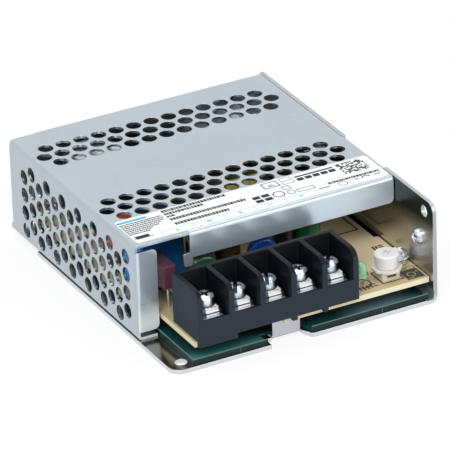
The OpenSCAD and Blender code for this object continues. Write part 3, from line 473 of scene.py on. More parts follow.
# %% Plating
clamp_head = 3.2
head_low = box_mm("terminal_screw_1")[1].z - clamp_head
zinc = plated("zinc_plating", (244, 248, 251), (104, 166, 194), 0.55, 0.18, 0.72, edge=0.12, bright=0.9)
# painted shade in the clamp screws' driven cross, and a painted shadow in a band under each head
overlay(zinc, [("recess",)], (58, 80, 100), 0.4, 0.4)
overlay(zinc, [(Z, head_low - 0.1, head_low + 0.35, 0.15)], (46, 84, 116), 0.5, 0.4)
bright_zinc = plated("bright_zinc", (232, 235, 238), (170, 196, 214), 0.35, 0.26, 0.85, edge=0.08, bright=0.6)
case_zinc = plated("case_zinc", (222, 224, 232), (140, 146, 168), 0.6, 0.2, 0.85, edge=0.1, bright=0.6)
overlay(case_zinc, [("recess",)], (246, 247, 250), 0.25, 0.35)
tin = plated("tin_plating", (226, 226, 222), (190, 190, 196), roughness=0.25)
dress(bright_zinc, "cover_screws", "board_standoffs", "terminal_contacts")
dress(tin, "led_leads")
print("clamp heads start at", round(head_low, 2), "mm")

# %% [markdown]
# ### Board, film and terminal block
# The board is bare paper laminate, tan on its faces and paler where it was sawn, with painted shade under
# the tall parts and painted light where light falls in, at its open front and along the left wall's holes.
# The film under it is a thin dark green sheet with a low lip, scored where it folds, and carries painted
# shade, sheen and highlight. The block is filled plastic with a fine matt texture, with painted light on
# its front and left.

# %% Board
board = moulded("board_laminate", (188, 170, 132), 0.42, grain=2500.0, tone=0.2, bump=0.1)
under_tall_parts, open_front = [(Y, 24, 60, 5), (X, -25, 60, 3)], [(X, 18, 42, 4), (Y, -35, -19, 6)]
along_holes = [(X, -40, -29, 2), (Y, -6, 38, 1.5)]
# painted shade under the tall parts; painted light at the open front and along the left wall's holes
patch(board, under_tall_parts, (50, 62, 70))
patch(board, open_front, (240, 220, 178))
patch(board, along_holes, (250, 238, 206))
dress(overlay(board, [(X,), (Y,)], (226, 216, 184)), "circuit_board")
print("board dressed")

# %% Film
film = moulded("insulating_film", (28, 70, 72), 0.3, grain=1500.0, tone=0.08, bump=0.05,
               Specular_IOR_Level=0.3)
film_low, film_high = box_mm("insulation_film")
sheen, front_left = [(X, 21, 29, 9)], [(Y, film_low.y, -46, 5), (X, -50, -6, 6)]
lips = [(Y, film_low.y - 1, film_low.y + crisp), (X, film_low.x - 1, film_low.x + crisp)]
lip_top, score_lines = [(Z, film_high.z - 0.1, film_high.z + 1)], [(X, 23.95, 24.1), (X, -20.1, -19.95)]
# painted sheen on the right, painted light at the front left, painted shade on the lip faces and a painted
# highlight on the lip's top
overlay(film, sheen, (96, 126, 134))
patch(film, front_left, (66, 132, 134))
overlay(film, lips, (9, 36, 38))
overlay(film, lip_top, (96, 134, 130))
dress(overlay(film, score_lines, (74, 104, 104)), "insulation_film")
print("film", [round(v, 1) for v in film_high - film_low], "mm")

# %% Plastic of the terminal block
block_low = box_mm("terminal_housing")[0]
block_plastic = moulded("terminal_plastic", (6, 10, 17), 0.5, grain=6000.0, tone=0.14, bump=0.2, edge=0.2,
                        bright=0.02, Specular_IOR_Level=0.16)
# painted light on the block's front and left faces
painted_lit_sides = [(Y, block_low.y - 1, block_low.y + 0.3, 0.3), (X, block_low.x - 1, block_low.x + 0.2, 0.2)]
overlay(block_plastic, painted_lit_sides, (36, 45, 56))
print("block starts at", [round(v, 1) for v in block_low], "mm")

# %% [markdown]
# ### Parts on the board
# Small parts tell their kind by colour: boxed film capacitors, dipped discs, sleeved cans with a pale
# stripe for the minus side, yellow tape on the transformer. Leads, tabs and end caps belong to the same
# solids, so a zone along an axis turns them to metal.

# %% Capacitors and discs
board_low, board_high = box_mm("circuit_board")
board_top = board_high.z


def above_board(height):
    """The slice from just under the board's face up to a height over it."""
    return (Z, board_top - 1, board_top + height)


maroon = moulded("maroon_case", (92, 48, 66), 0.4, edge=0.3, bright=0.08, Specular_IOR_Level=0.3)
dress(overlay(maroon, [above_board(6.35)], (226, 224, 220), 1.0, 0.22), "film_capacitor")
blue_case = moulded("blue_case", (24, 104, 178), 0.34, edge=0.3, bright=0.1)
# painted light on the blue capacitor's left face
blue_left = box_mm("x_capacitor")[0].x
dress(overlay(blue_case, [(X, blue_left - 1, blue_left + 0.4)], (24, 158, 240)), "x_capacitor")
red_brown = moulded("red_brown_case", (214, 98, 54), 0.38, edge=0.3, bright=0.1)
dress(overlay(red_brown, [(Z, 0, 14, 1.5)], (48, 50, 56)), "rear_film_capacitor")
for name, colour, lead in (("inrush_thermistor", (40, 84, 62), 2.7), ("y_capacitor", (24, 92, 200), 1.5)):
    lacquer = moulded(name + "_lacquer", colour, 0.28, grain=900.0, tone=0.2, bump=0.3, Coat_Weight=0.3)
    dress(overlay(lacquer, [above_board(lead)], (214, 212, 206), 1.0, 0.25), name)
green_sleeve = moulded("green_sleeve", (20, 104, 72), 0.3, tone=0.08)
# painted shade on the sleeves' upper part, deep inside the case
dress(overlay(green_sleeve, [(Z, 18.5, 40, 1.5)], (8, 30, 26)), "output_capacitor_sleeves")
black_sleeve = moulded("black_sleeve", (34, 46, 58), 0.3, tone=0.08)
dress(overlay(black_sleeve, [(Y, 40.9, 44)], (176, 180, 178)), "bulk_capacitor_sleeve")
dress(moulded("small_sleeve", (34, 36, 42), 0.32), "auxiliary_capacitor")
print("board top at", round(board_top, 2), "mm")

# %% Magnetics
ferrite = moulded("ferrite", (62, 64, 68), 0.55, grain=5000.0, tone=0.3, bump=0.2)
dress(ferrite, "choke_core", "transformer_core", "output_choke")
dress(moulded("bobbin_plastic", (40, 42, 46), 0.42), "transformer_bobbin")
tape = moulded("yellow_tape", (222, 200, 104), 0.3, grain=300.0, tone=0.2, bump=0.05)
tape_seams, tape_shade = (2.1, 6.9, 10.4), [(Y, 2.9, 40, 0.6), (X, -20, 3, 0.5)]
overlay(tape, [(X, x, x + 0.18) for x in tape_seams], (140, 118, 34))
dress(overlay(tape, tape_shade, (62, 62, 50)), "transformer_winding")
print("tape has", len(tape_seams), "seams")

# %% Fuse and devices
low, high = box_mm("input_fuse")
fuse_caps = [(Y, low.y - 1, low.y + 1.8), (Y, high.y - 1.8, high.y + 1)]
ceramic = moulded("fuse_ceramic", (222, 214, 200), 0.5, grain=3000.0)
dress(overlay(ceramic, fuse_caps, (206, 204, 198), 1.0, 0.25), "input_fuse")
epoxy = {"colour": (44, 46, 50), "roughness": 0.5, "grain": 5000.0}
dress(moulded("device_epoxy", **epoxy), "bridge_rectifier")
tabs = [above_board(2.95), (Z, board_top + 12.05, board_top + 30)]
tabbed = overlay(moulded("tabbed_device", **epoxy), tabs, (200, 200, 198), 1.0, 0.3)
dress(tabbed, "power_transistor", "output_rectifier")
dress(moulded("optocoupler_white", (228, 226, 218), 0.45), "optocoupler")
print("fuse and devices dressed")

# %% Resistors
low, high = box_mm("resistors")
middle, half_body, band = (low.x + high.x) / 2, 3.25, 0.45
resistor = moulded("resistor_lacquer", (150, 180, 196), 0.35)
bands = ((-2.2, (120, 70, 40)), (-1.2, (40, 40, 44)), (-0.2, (190, 60, 40)), (2.0, (190, 150, 60)))
for offset, colour in bands:
    overlay(resistor, [(X, middle + offset, middle + offset + band)], colour)
wires = [(X, low.x - 1, middle - half_body), (X, middle + half_body, high.x + 1)]
dress(overlay(resistor, wires, (208, 206, 200), 1.0, 0.25), "resistors")
print(len(bands), "bands on each resistor")

# %% [markdown]
# ### Adjuster and lamp
# The knob and its base are glossy thermoplastic, slightly yellow. The lamp is tinted epoxy: light goes in,
# so it is partly transmitting, with metal posts standing inside it.

# %% Adjuster and lamp
dress(moulded("knob_white", (222, 222, 220), 0.34, tone=0.05, edge=0.15), "trimmer_knob")
dress(moulded("base_cream", (222, 216, 204), 0.35, tone=0.06, edge=0.15), "trimmer_base")
lens = moulded("lamp_lens", (176, 242, 190), 0.08, tone=0.05, bump=0.0, Transmission_Weight=0.5,
               Coat_Weight=0.6, IOR=1.5)
lamp_low, lamp_high = box_mm("status_led")
# painted shade on the lamp's right side
dress(overlay(lens, [(X, lamp_high.x - 0.7, lamp_high.x + 1, 0.5)], (100, 180, 116)), "status_led")
print("adjuster and lamp dressed")

# %% [markdown]
# ## Pieces with eased edges
# A moulded or stamped part never has a knife edge. A copy of the CAD mesh is welded, its flat faces are
# joined, and its sharp edges are rounded by a few tenths. The copy stands for the node, which stays in the
# frame for collision. Each clamp carries a painted highlight in its middle, and its darker base is painted
# shade towards the walls of its pocket; a dark band runs round it at one height, and a short dark line
# crosses its top near the front. The right flank of each clamp screw's head carries a painted shade.

# %% Helpers for pieces
weld, crease = 1e-6, 0.7


def add_piece(name, mesh, material, body="case", stands_for=()):
    """Links a mesh as a finished piece that rides on a body and may stand for CAD nodes."""
    mesh.name = name
    mesh.materials.clear()
    mesh.materials.append(material)
    piece = linked(name, mesh)
    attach(piece, body)
    if stands_for:
        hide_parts(*stands_for)


def eased_copy(node, name, width, material, body="case", segments=2):
    """A copy of a CAD node with its sharp edges rounded by a width in millimetres."""
    source = nodes[node].data
    solid = bmesh.new()
    corners = [solid.verts.new(v.co) for v in source.vertices]
    for polygon in source.polygons:
        solid.faces.new([corners[i] for i in polygon.vertices])
    bmesh.ops.remove_doubles(solid, verts=solid.verts, dist=weld)
    bmesh.ops.dissolve_limit(solid, angle_limit=0.01, verts=solid.verts, edges=solid.edges)
    sharp = [e for e in solid.edges if len(e.link_faces) == 2 and e.calc_face_angle() > crease]
    bmesh.ops.bevel(solid, geom=sharp, offset=width * MM, segments=segments, profile=0.5, affect="EDGES",
                    clamp_overlap=False)
    bmesh.ops.triangulate(solid, faces=solid.faces)
    mesh = bpy.data.meshes.new(name)
    solid.to_mesh(mesh)
    solid.free()
    mesh.shade_smooth()
    mesh.set_sharp_from_angle(angle=0.6)
    add_piece(name, mesh, material, body, [node])


print("pieces can be copied and eased")

# %% Terminal block and clamps
eased_copy("terminal_housing", "terminal_moulding", 0.25, block_plastic, segments=3)
poles = range(1, 6)
clamp_low = box_mm("clamp_plate_1")[0]
middles = [sum(corner.x for corner in box_mm("clamp_plate_%d" % i)) / 2 for i in poles]
# the darker base is painted shade towards the pocket walls; a painted highlight lies over the middle of each
# clamp
clamp_zinc = plated("clamp_zinc", (96, 106, 116), (60, 84, 104), 0.5, 0.3, 0.8)
overlay(clamp_zinc, [(X, x - 1.2, x + 2.45, 0.2) for x in middles], (254, 254, 255), 0.15, 0.35)
overlay(clamp_zinc, [(Z, clamp_low.z + 0.68, clamp_low.z + 0.95)], (34, 44, 56))
for i, x in zip(poles, middles):
    # a short dark line near the front of each clamp's top, and painted shade on the right flank of each clamp
    # screw's head
    short_dark_line = [(X, x + 0.3, x + 2.0), (Y, clamp_low.y + 0.6, clamp_low.y + 0.78)]
    head_shade = [(X, x + 1.1, x + 3.2, 0.5), (Z, head_low, head_low + 2.4, 0.3)]
    patch(clamp_zinc, short_dark_line, (84, 98, 112))
    patch(zinc, head_shade, (24, 36, 38), 0.5, 0.3)
    eased_copy("clamp_plate_%d" % i, "stamped_clamp_%d" % i, 0.12, clamp_zinc,
               "terminal_%d" % i)
print(len(poles), "clamps at", [round(x, 2) for x in middles], "mm")

# %% [markdown]
# ## Screws, one pattern and many places
# Screw heads are cold-formed: a rounded or flat head with a driven cross. A lathe profile gives the blank,
# and a tapered cross is taken away from it, as the punch does. A small Geometry Nodes tree then sets the
# blank wherever there is a point, along the point's axis and turned by the point's own angle.

# %% Helpers: lathe, wedge and cut
block_faces = [(3, 2, 1, 0), (4, 5, 6, 7), (0, 1, 5, 4), (1, 2, 6, 5), (2, 3, 7, 6), (3, 0, 4, 7)]


def solid_mesh(corners, faces):
    """A mesh from corners in millimetres."""
    mesh = bpy.data.meshes.new("solid")
    mesh.from_pydata([tuple(c * MM for c in corner) for corner in corners], [], faces)
    return mesh


def lathe(profile, steps=48):
    """Turns a profile of (radius, height), which starts and ends on the axis, round Z."""
    rings = profile[1:-1]
    angles = [math.tau * k / steps for k in range(steps)]
    corners = [(0, 0, profile[0][1]), (0, 0, profile[-1][1])]
    corners += [(r * math.cos(a), r * math.sin(a), height) for r, height in rings for a in angles]
    last = 2 + (len(rings) - 1) * steps
    faces = []
    for k in range(steps):
        after = (k + 1) % steps
        faces.append((0, 2 + k, 2 + after))
        faces += [(a + k, a + steps + k, a + steps + after, a + after) for a in range(2, last, steps)]
        faces.append((1, last + after, last + k))
    return solid_mesh(corners, faces)


def wedge(top, bottom, high, low):
    """A block whose top and bottom have their own (length, width)."""
    ends = ((bottom, low), (top, high))
    corners = [(x * length / 2, y * width / 2, height) for (length, width), height in ends
               for x, y in square]
    return solid_mesh(corners, block_faces)


def evaluated(work):
    """The plain mesh that an object's modifiers make."""
    graph = bpy.context.evaluated_depsgraph_get()
    return bpy.data.meshes.new_from_object(work.evaluated_get(graph), depsgraph=graph)


def cut(blank, *cutters):
    """The blank less the cutters, each a mesh with a turn about Z in degrees."""
    work, tools = linked("blank", blank), []
    for mesh, turn in cutters:
        mesh.transform(Matrix.Rotation(math.radians(turn), 4, "Z"))
        tools.append(linked("cutter", mesh))
        step = work.modifiers.new("cut", "BOOLEAN")
        step.operation, step.solver, step.object = "DIFFERENCE", "EXACT", tools[-1]
    result = evaluated(work)
    for spare in [work] + tools:
        bpy.data.objects.remove(spare)
    return result


print("a blank can be turned and cut")

# %% Screw blanks
flat_head = ((0.55, 0.985), (0.78, 0.93), (0.92, 0.82), (0.99, 0.66), (1.0, 0.5))
round_head = ((0.35, 0.97), (0.6, 0.87), (0.78, 0.72), (0.91, 0.52), (0.98, 0.32))
thread_r, tip_r = 1.48, 1.3


def screw_blank(width, height, shank, head_curve, slot_depth=0.0):
    """A screw, its head upwards from z = 0; the curve holds shares of the head's radius and height. The
    faces that the punch made are marked, so that a finish can colour them: a painted shade on the clamp
    screws, a pale colour on the case screws."""
    r, over = width / 2, height + 0.1
    profile = [(0, height)] + [(r * out, height * up) for out, up in head_curve] + [(r, 0.15), (r * 0.95, 0)]
    profile += [(thread_r, 0), (thread_r, 0.2 - shank), (tip_r, -shank), (0, -shank)]
    blade_top, blade_foot = (width * 0.62, width * 0.17), (width * 0.3, width * 0.1)
    cutters = [(wedge(blade_top, blade_foot, over, height * 0.4), turn) for turn in (0, 90)]
    if slot_depth:
        cutters.append((wedge((2 * width, 1.15), (2 * width, 1.0), over, height - slot_depth), 0))
    driven = cut(lathe(profile), *cutters)
    recess = driven.attributes.new("recess", "FLOAT", "FACE")
    for face, mark in zip(driven.polygons, recess.data):
        inward = face.normal.x * face.center.x + face.normal.y * face.center.y < -1e-6
        sunk = face.normal.z > 0.9 and face.center.z < 0.7 * height * MM
        mark.value = 1.0 if face.center.z > 0.1 * MM and (inward or sunk) else 0.0
    return driven


print("two head curves of", len(flat_head), "points")

# %% Helpers for Geometry Nodes
def nodes_tree(name, inputs):
    """A Geometry Nodes tree with named inputs, and its dials."""
    tree = bpy.data.node_groups.new(name, "GeometryNodeTree")
    tree.is_modifier = True
    for label, kind in {"Geometry": "Geometry", **inputs}.items():
        tree.interface.new_socket(name=label, in_out="INPUT", socket_type="NodeSocket" + kind)
    tree.interface.new_socket(name="Geometry", in_out="OUTPUT", socket_type="NodeSocketGeometry")
    return tree, put(tree, "NodeGroupInput")


def set_down(tree, dial, points, shape, **more):
    """Ends a tree and returns it: a shape on every point, made real and given its finish."""
    placed = put(tree, "GeometryNodeInstanceOnPoints", {"Points": points, "Instance": shape, **more})[0]
    solid = put(tree, "GeometryNodeRealizeInstances", {"Geometry": placed})[0]
    painted = put(tree, "GeometryNodeSetMaterial", {"Geometry": solid, "Material": dial["Finish"]})[0]
    put(tree, "NodeGroupOutput", {0: painted})
    print(tree.name + ":", len(tree.nodes), "nodes")
    return tree


def run_tree(tree, start, values, smooth=crease):
    """The plain mesh that a tree makes of a starting mesh."""
    work = linked("start", start)
    step = work.modifiers.new(tree.name, "NODES")
    step.node_group = tree
    for item in tree.interface.items_tree:
        if item.in_out == "INPUT" and item.name in values:
            step[item.identifier] = values[item.name]
    made = evaluated(work)
    work.modifiers.remove(step)
    bpy.data.objects.remove(work)
    made.shade_smooth()
    made.set_sharp_from_angle(angle=smooth)
    return made


def points_mesh(places):
    """Points from (place, axis, turn in degrees), in millimetres."""
    mesh = solid_mesh([place for place, axis, turn in places], [])
    axes = mesh.attributes.new("axis", "FLOAT_VECTOR", "POINT")
    axes.data.foreach_set("vector", [c for place, axis, turn in places for c in axis])
    turns = mesh.attributes.new("turn", "FLOAT", "POINT")
    turns.data.foreach_set("value", [math.radians(turn) for place, axis, turn in places])
    return mesh


print("trees can be built and run")

# %% Geometry Nodes: a pattern on points
tree, dial = nodes_tree("Pattern on points", {"Pattern": "Object", "Finish": "Material"})
axis, turn = (put(tree, "GeometryNodeInputNamedAttribute", {"Name": name}, data_type=kind)[0]
              for name, kind in (("axis", "FLOAT_VECTOR"), ("turn", "FLOAT")))
upright = put(tree, "FunctionNodeAlignRotationToVector", {"Vector": axis}, axis="Z")[0]
spin = put(tree, "FunctionNodeAxisAngleToRotation", {"Axis": Z, "Angle": turn})[0]
turned = put(tree, "FunctionNodeRotateRotation", {"Rotation": upright, "Rotate By": spin},
             rotation_space="LOCAL")[0]
pattern = put(tree, "GeometryNodeObjectInfo", {"Object": dial["Pattern"]})["Geometry"]
pattern_tree = set_down(tree, dial, dial["Geometry"], pattern, Rotation=turned)


def set_out(pattern_mesh, places, material):
    """One mesh with the pattern at every place."""
    holder = linked("pattern", pattern_mesh)
    made = run_tree(pattern_tree, points_mesh(places), {"Pattern": holder, "Finish": material})
    bpy.data.objects.remove(holder)
    return made


# %% [markdown]
# Board and power devices are held by the same M3 screw; the earth screw on the wall has a smaller head.
# Where each stands is read from its CAD solid. The board's screws have a round washer, and the front one
# stands on a bush.

# %% Helpers for case screws
def joined(*meshes):
    """Several meshes as one."""
    whole = bmesh.new()
    for mesh in meshes:
        whole.from_mesh(mesh)
    mesh = bpy.data.meshes.new("joined")
    whole.to_mesh(mesh)
    whole.free()
    mesh.set_sharp_from_angle(angle=crease)
    return mesh


def islands(node):
    """(lowest corner, highest corner), in millimetres, of each separate solid of a node."""
    solid = bmesh.new()
    solid.from_mesh(nodes[node].data)
    bmesh.ops.remove_doubles(solid, verts=solid.verts, dist=weld)
    left, boxes = set(solid.verts), []
    while left:
        group = [left.pop()]
        for corner in group:
            near = {e.other_vert(corner) for e in corner.link_edges} & left
            left -= near
            group += near
        boxes.append([Vector([end(v.co[k] for v in group) / MM for k in range(3)]) for end in (min, max)])
    solid.free()
    return sorted(boxes, key=lambda pair: (pair[0].y, pair[0].x))


def over_middle(low, high, z):
    """The place at a height over the middle of a box."""
    return ((low.x + high.x) / 2, (low.y + high.y) / 2, z)


def collar(radius, height, ease=0.2):
    """A washer or bush with eased rims, upwards from z = 0."""
    inner = radius - ease
    return lathe([(0, height), (inner, height), (radius, height - ease), (radius, ease), (inner, 0), (0, 0)])


print("solids can be counted and joined")

# %% Case screws
pan_width, pan_height, pan_shank, earth_shank = 5.6, 2.0, 2.4, 1.0
washer_r, washer_height, bush_r = 3.1, 0.8, 2.8
pans, washers, bushes, earth = [], [], [], []
for k, (low, high) in enumerate(islands("board_screws")):
    seat = high.z - pan_height
    pans.append((over_middle(low, high, seat), Z, 20 + 35 * k))
    washers.append((over_middle(low, high, seat - washer_height), Z, 0))
    if seat - washer_height > board_top + 0.1:
        bushes.append((over_middle(low, high, board_top), Z, 0))
        bush_height = seat - washer_height - board_top
for node, heads, first in (("device_screws", pans, 35), ("wall_screw", earth, 10)):
    for k, (low, high) in enumerate(islands(node)):
        spot = (low.x + pan_height, (low.y + high.y) / 2, (low.z + high.z) / 2)
        heads.append((spot, (-1, 0, 0), first + 25 * k))
earth_low, earth_high = box_mm("wall_screw")
earth_width = earth_high.y - earth_low.y
kinds = ((screw_blank(pan_width, pan_height, pan_shank, round_head), pans),
         (screw_blank(earth_width, pan_height, earth_shank, round_head), earth),
         (collar(washer_r, washer_height), washers), (collar(bush_r, bush_height), bushes))
screw_mesh = joined(*[set_out(blank, places, case_zinc) for blank, places in kinds])
add_piece("machine_screws", screw_mesh, case_zinc,
          stands_for=("board_screws", "wall_screw", "device_screws"))
print(len(pans) + len(earth), "screws,", len(screw_mesh.polygons), "faces")

# %% [markdown]
# The five clamp screws have a slot as well as a cross, and each was left at its own angle, so each is its
# own piece on the body of its terminal.

# %% Clamp screws
clamp_turns, clamp_width = (12, 62, 66, 4, 58), 5.8
for i, angle in zip(poles, clamp_turns):
    low, high = box_mm("terminal_screw_%d" % i)
    seat = high.z - clamp_head
    blank = screw_blank(clamp_width, clamp_head, seat - low.z, flat_head, slot_depth=1.3)
    mesh = set_out(blank, [(over_middle(low, high, seat), Z, angle)], zinc)
    add_piece("clamp_screw_%d" % i, mesh, zinc, "terminal_%d" % i, ["terminal_screw_%d" % i])
print("clamp screws at", clamp_turns, "degrees")

# %% [markdown]
# ## Wound coils
# Enamelled wire is wound turn by turn on the two legs of the line choke and on the drum of the output
# choke. A spiral curve is swept with a round wire; the number of turns follows from the coil's length and
# the wire.

# %% Geometry Nodes: wire turns
tree, dial = nodes_tree("Wire turns", {
    "Turns": "Float", "Radius": "Float", "Length": "Float", "Wire": "Float", "Finish": "Material"})
path = put(tree, "GeometryNodeCurveSpiral", {
    "Resolution": 32, "Rotations": dial["Turns"], "Start Radius": dial["Radius"],
    "End Radius": dial["Radius"], "Height": dial["Length"]})[0]
wire = put(tree, "GeometryNodeCurvePrimitiveCircle", {"Resolution": 10, "Radius": dial["Wire"]})[0]
swept = put(tree, "GeometryNodeCurveToMesh", {"Curve": path, "Profile Curve": wire, "Fill Caps": True})[0]
coil_tree = set_down(tree, dial, dial["Geometry"], swept)


def wound(feet, radius, length, wire):
    """Coils of round wire, in millimetres; each foot is the middle of a coil's lower end."""
    start = points_mesh([((x, y, z + wire), Z, 0) for x, y, z in feet])
    run = length - 2 * wire
    return run_tree(coil_tree, start, {"Turns": run / (2 * wire), "Radius": radius * MM, "Length": run * MM,
                                       "Wire": wire * MM, "Finish": enamel}, smooth=1.2)


# %% Coils of the two chokes
enamel = moulded("copper_enamel", (96, 74, 38), 0.3, grain=2000.0, tone=0.3, bump=0.05, metallic=0.4)
thick_wire, thin_wire = 0.45, 0.25
coils = islands("choke_windings")
low, high = coils[0]
leg_feet = [over_middle(a, b, a.z) for a, b in coils]
choke_mesh = wound(leg_feet, (high.x - low.x) / 2 - thick_wire, high.z - low.z, thick_wire)
add_piece("choke_coils", choke_mesh, enamel, stands_for=["choke_windings"])
low, high = box_mm("output_choke")
drum_flange, drum_r, drum_length = 1.25, 3.75, 7.5
drum_mesh = wound([over_middle(low, high, low.z + drum_flange)], drum_r, drum_length, thin_wire)
add_piece("output_choke_coil", drum_mesh, enamel)
print("coils:", len(choke_mesh.polygons) + len(drum_mesh.polygons), "faces")

# %% [markdown]
# ## The label
# A white film with rounded corners. Its print is generic: bars, blocks and empty fields; only the plain
# terminal symbols along the front can be read. The bars are laid out by nodes: each has a random width from
# a fixed seed, and the widths and gaps before it add up to its place.

# %% Helpers for print
ink = 0.012
label_low, label_high = box_mm("rating_label")
ink_height = label_high.z - ink


def flat_shapes(name, outlines, material, height=ink_height, depth=ink, stands_for=()):
    """Thin plates, their tops at one height; each outline is a list of (x, y) in millimetres."""
    corners, faces = [], []
    for outline in outlines:
        count, first = len(outline), len(corners)
        corners += [(x, y, z) for z in (height - depth, height) for x, y in outline]
        faces.append(tuple(range(first + count - 1, first - 1, -1)))
        faces.append(tuple(range(first + count, first + 2 * count)))
        for k in range(count):
            a, b = first + k, first + (k + 1) % count
            faces.append((a, b, b + count, a + count))
    add_piece(name, solid_mesh(corners, faces), material, stands_for=stands_for)


def bar(x0, y0, x1, y1):
    """A filled rectangle."""
    return [(x0, y0), (x1, y0), (x1, y1), (x0, y1)]


def frame_of(x0, y0, x1, y1, line):
    """The four sides of a drawn rectangle."""
    return [bar(x0, y0, x1, y0 + line), bar(x0, y1 - line, x1, y1), bar(x0, y0 + line, x0 + line, y1 - line),
            bar(x1 - line, y0 + line, x1, y1 - line)]


def arc(x, y, radius, start, end, steps):
    """Points on a part of a circle, between two angles in degrees."""
    angles = [math.radians(start + (end - start) * k / steps) for k in range(steps + 1)]
    return [(x + radius * math.cos(a), y + radius * math.sin(a)) for a in angles]


def ring(x, y, radius, line, start=0, end=360, steps=28):
    """A drawn circle or a part of one, as a row of four-cornered pieces."""
    inner, outer = (arc(x, y, r, start, end, steps) for r in (radius - line, radius))
    return [[inner[k], outer[k], outer[k + 1], inner[k + 1]] for k in range(steps)]


print("bars, frames and rings can be drawn")

# %% Label sheet
sheet_top, corner_r = label_high.z - 0.03, 1.2
left, right = label_low.x + corner_r, label_high.x - corner_r
near, far = label_low.y + corner_r, label_high.y - corner_r
outline = []
for x, y, first in ((right, far, 0), (left, far, 90), (left, near, 180), (right, near, 270)):
    outline += arc(x, y, corner_r, first, first + 90, 6)
label_white = moulded("label_film", (232, 233, 234), 0.38, grain=1200.0, tone=0.03, bump=0.03)
flat_shapes("label_sheet", [outline], label_white, sheet_top, depth=sheet_top - label_low.z,
            stands_for=["rating_label"])
print("label", [round(v, 1) for v in label_high - label_low], "mm")

# %% Geometry Nodes: print lines
tree, dial = nodes_tree("Print lines", {
    "Bars": "Int", "Length": "Float", "Narrow": "Float", "Wide": "Float", "Gap": "Float", "Height": "Float",
    "Seed": "Int", "Finish": "Material"})
spots = put(tree, "GeometryNodeMeshLine", {"Count": dial["Bars"], "Offset": (0, 0, 0)})[0]
width = put(tree, "FunctionNodeRandomValue", {2: dial["Narrow"], 3: dial["Wide"], "Seed": dial["Seed"]},
            data_type="FLOAT")[1]
pace = maths(tree, "ADD", width, dial["Gap"])
before = put(tree, "GeometryNodeAccumulateField", {0: pace}, data_type="FLOAT")[1]
along = put(tree, "ShaderNodeCombineXYZ", {"X": before})[0]
moved = put(tree, "GeometryNodeSetPosition", {"Geometry": spots, "Offset": along})[0]
past = maths(tree, "GREATER_THAN", maths(tree, "ADD", before, width), dial["Length"])
kept = put(tree, "GeometryNodeDeleteGeometry", {"Geometry": moved, "Selection": past})[0]
brick = put(tree, "GeometryNodeMeshCube", {"Size": (1, 1, 1)})[0]
hung = put(tree, "GeometryNodeTransform", {"Geometry": brick, "Translation": (0.5, 0, -0.5)})[0]
size = put(tree, "ShaderNodeCombineXYZ", {"X": width, "Y": dial["Height"], "Z": ink * MM})[0]
line_tree = set_down(tree, dial, kept, hung, Scale=size)


def print_lines(name, rows, narrow, wide, gap, material, first_seed=7, most_bars=80):
    """Rows of bars as one piece; each row is (x start, y middle, x end, bar height) in millimetres."""
    meshes = []
    for k, (x0, y, x1, tall) in enumerate(rows):
        row = run_tree(line_tree, bpy.data.meshes.new("row"), {
            "Bars": most_bars, "Length": (x1 - x0) * MM, "Narrow": narrow * MM, "Wide": wide * MM,
            "Gap": gap * MM, "Height": tall * MM, "Seed": first_seed + k, "Finish": material})
        row.transform(Matrix.Translation((x0 * MM, y * MM, ink_height * MM)))
        meshes.append(row)
    add_piece(name, joined(*meshes), material)


# %% Rows of bars
black_ink = moulded("black_ink", (28, 29, 32), 0.5, tone=0.1, bump=0.0, Specular_IOR_Level=0.2)
grey_ink = moulded("grey_ink", (52, 54, 58), 0.5, tone=0.1, bump=0.0)
text_left, text_right, fine_left, fine_top, fine_pitch, foot_y = -25.2, 38.0, -39.0, -15.8, 1.01, -24.5
text_rows = [(text_left, y, end, tall) for y, end, tall in (
    (-14.0, -4.8, 1.3), (-15.8, -13.1, 1.2), (-17.4, -22.9, 1.0), (-19.3, -1.7, 1.3), (-22.2, -8.1, 1.35))]
text_rows.append((22.1, -22.9, text_right, 1.05))
print_lines("label_lines", text_rows, 0.35, 0.9, 0.2, black_ink)
fine_ends = (-26.2, -26.0, -26.4, -27.2, -28.5, -31.0, -32.2)
fine_rows = [(fine_left, fine_top - fine_pitch * k, end, 0.64) for k, end in enumerate(fine_ends)]
fine_rows += [(start, foot_y, end, 0.5) for start, end in ((18.4, 21.7), (29.4, 30.9), (35.5, text_right))]
print_lines("label_small_lines", fine_rows, 0.2, 0.6, 0.16, grey_ink)
print(len(text_rows) + len(fine_rows), "rows of bars")

# %% Blocks, frames and rings
marks = frame_of(5.6, -17.0, 10.4, -13.6, 0.28) + [bar(6.9, -16.2, 9.1, -15.9), bar(7.3, -15.5, 8.7, -15.2)]
marks += [bar(15.9 + 2.5 * k, -17.2, 17.9 + 2.5 * k, -15.6) for k in range(5)]
marks += [bar(15.9, -15.0, 27.9, -14.3)]
marks += [bar(x, y, x + 2.3, y + 1.6) for y in (-21.1, -23.3) for x in (-0.2, 2.6)]
marks += [bar(-38.4, -25.2, -34.2, -23.5), bar(-39.0, -25.2, -38.7, -24.7), bar(-33.9, -25.2, -33.5, -24.7)]
flat_shapes("label_marks", marks, black_ink)
soft_marks = ring(7.4, -21.4, 1.8, 0.35) + ring(11.0, -22.0, 1.2, 0.25) + ring(25.7, -24.9, 1.3, 0.2)
soft_marks += frame_of(12.8, -23.2, 18.1, -21.3, 0.22) + frame_of(9.9, -20.2, 12.2, -17.8, 0.22)
soft_marks += ring(33.0, -25.2, 1.5, 0.4, 20, 160) + frame_of(11.4, -17.1, 14.9, -13.3, 0.16)
flat_shapes("label_soft_marks", soft_marks + [bar(11.8, -15.3, 14.5, -15.1)], grey_ink)
print(len(marks), "black shapes")

# %% [markdown]
# The dotted block is a grid thinned by a fixed seed and holds no message. The cyan strip along the front
# names the terminals below it with the usual symbols: L, N, earth, minus and plus.

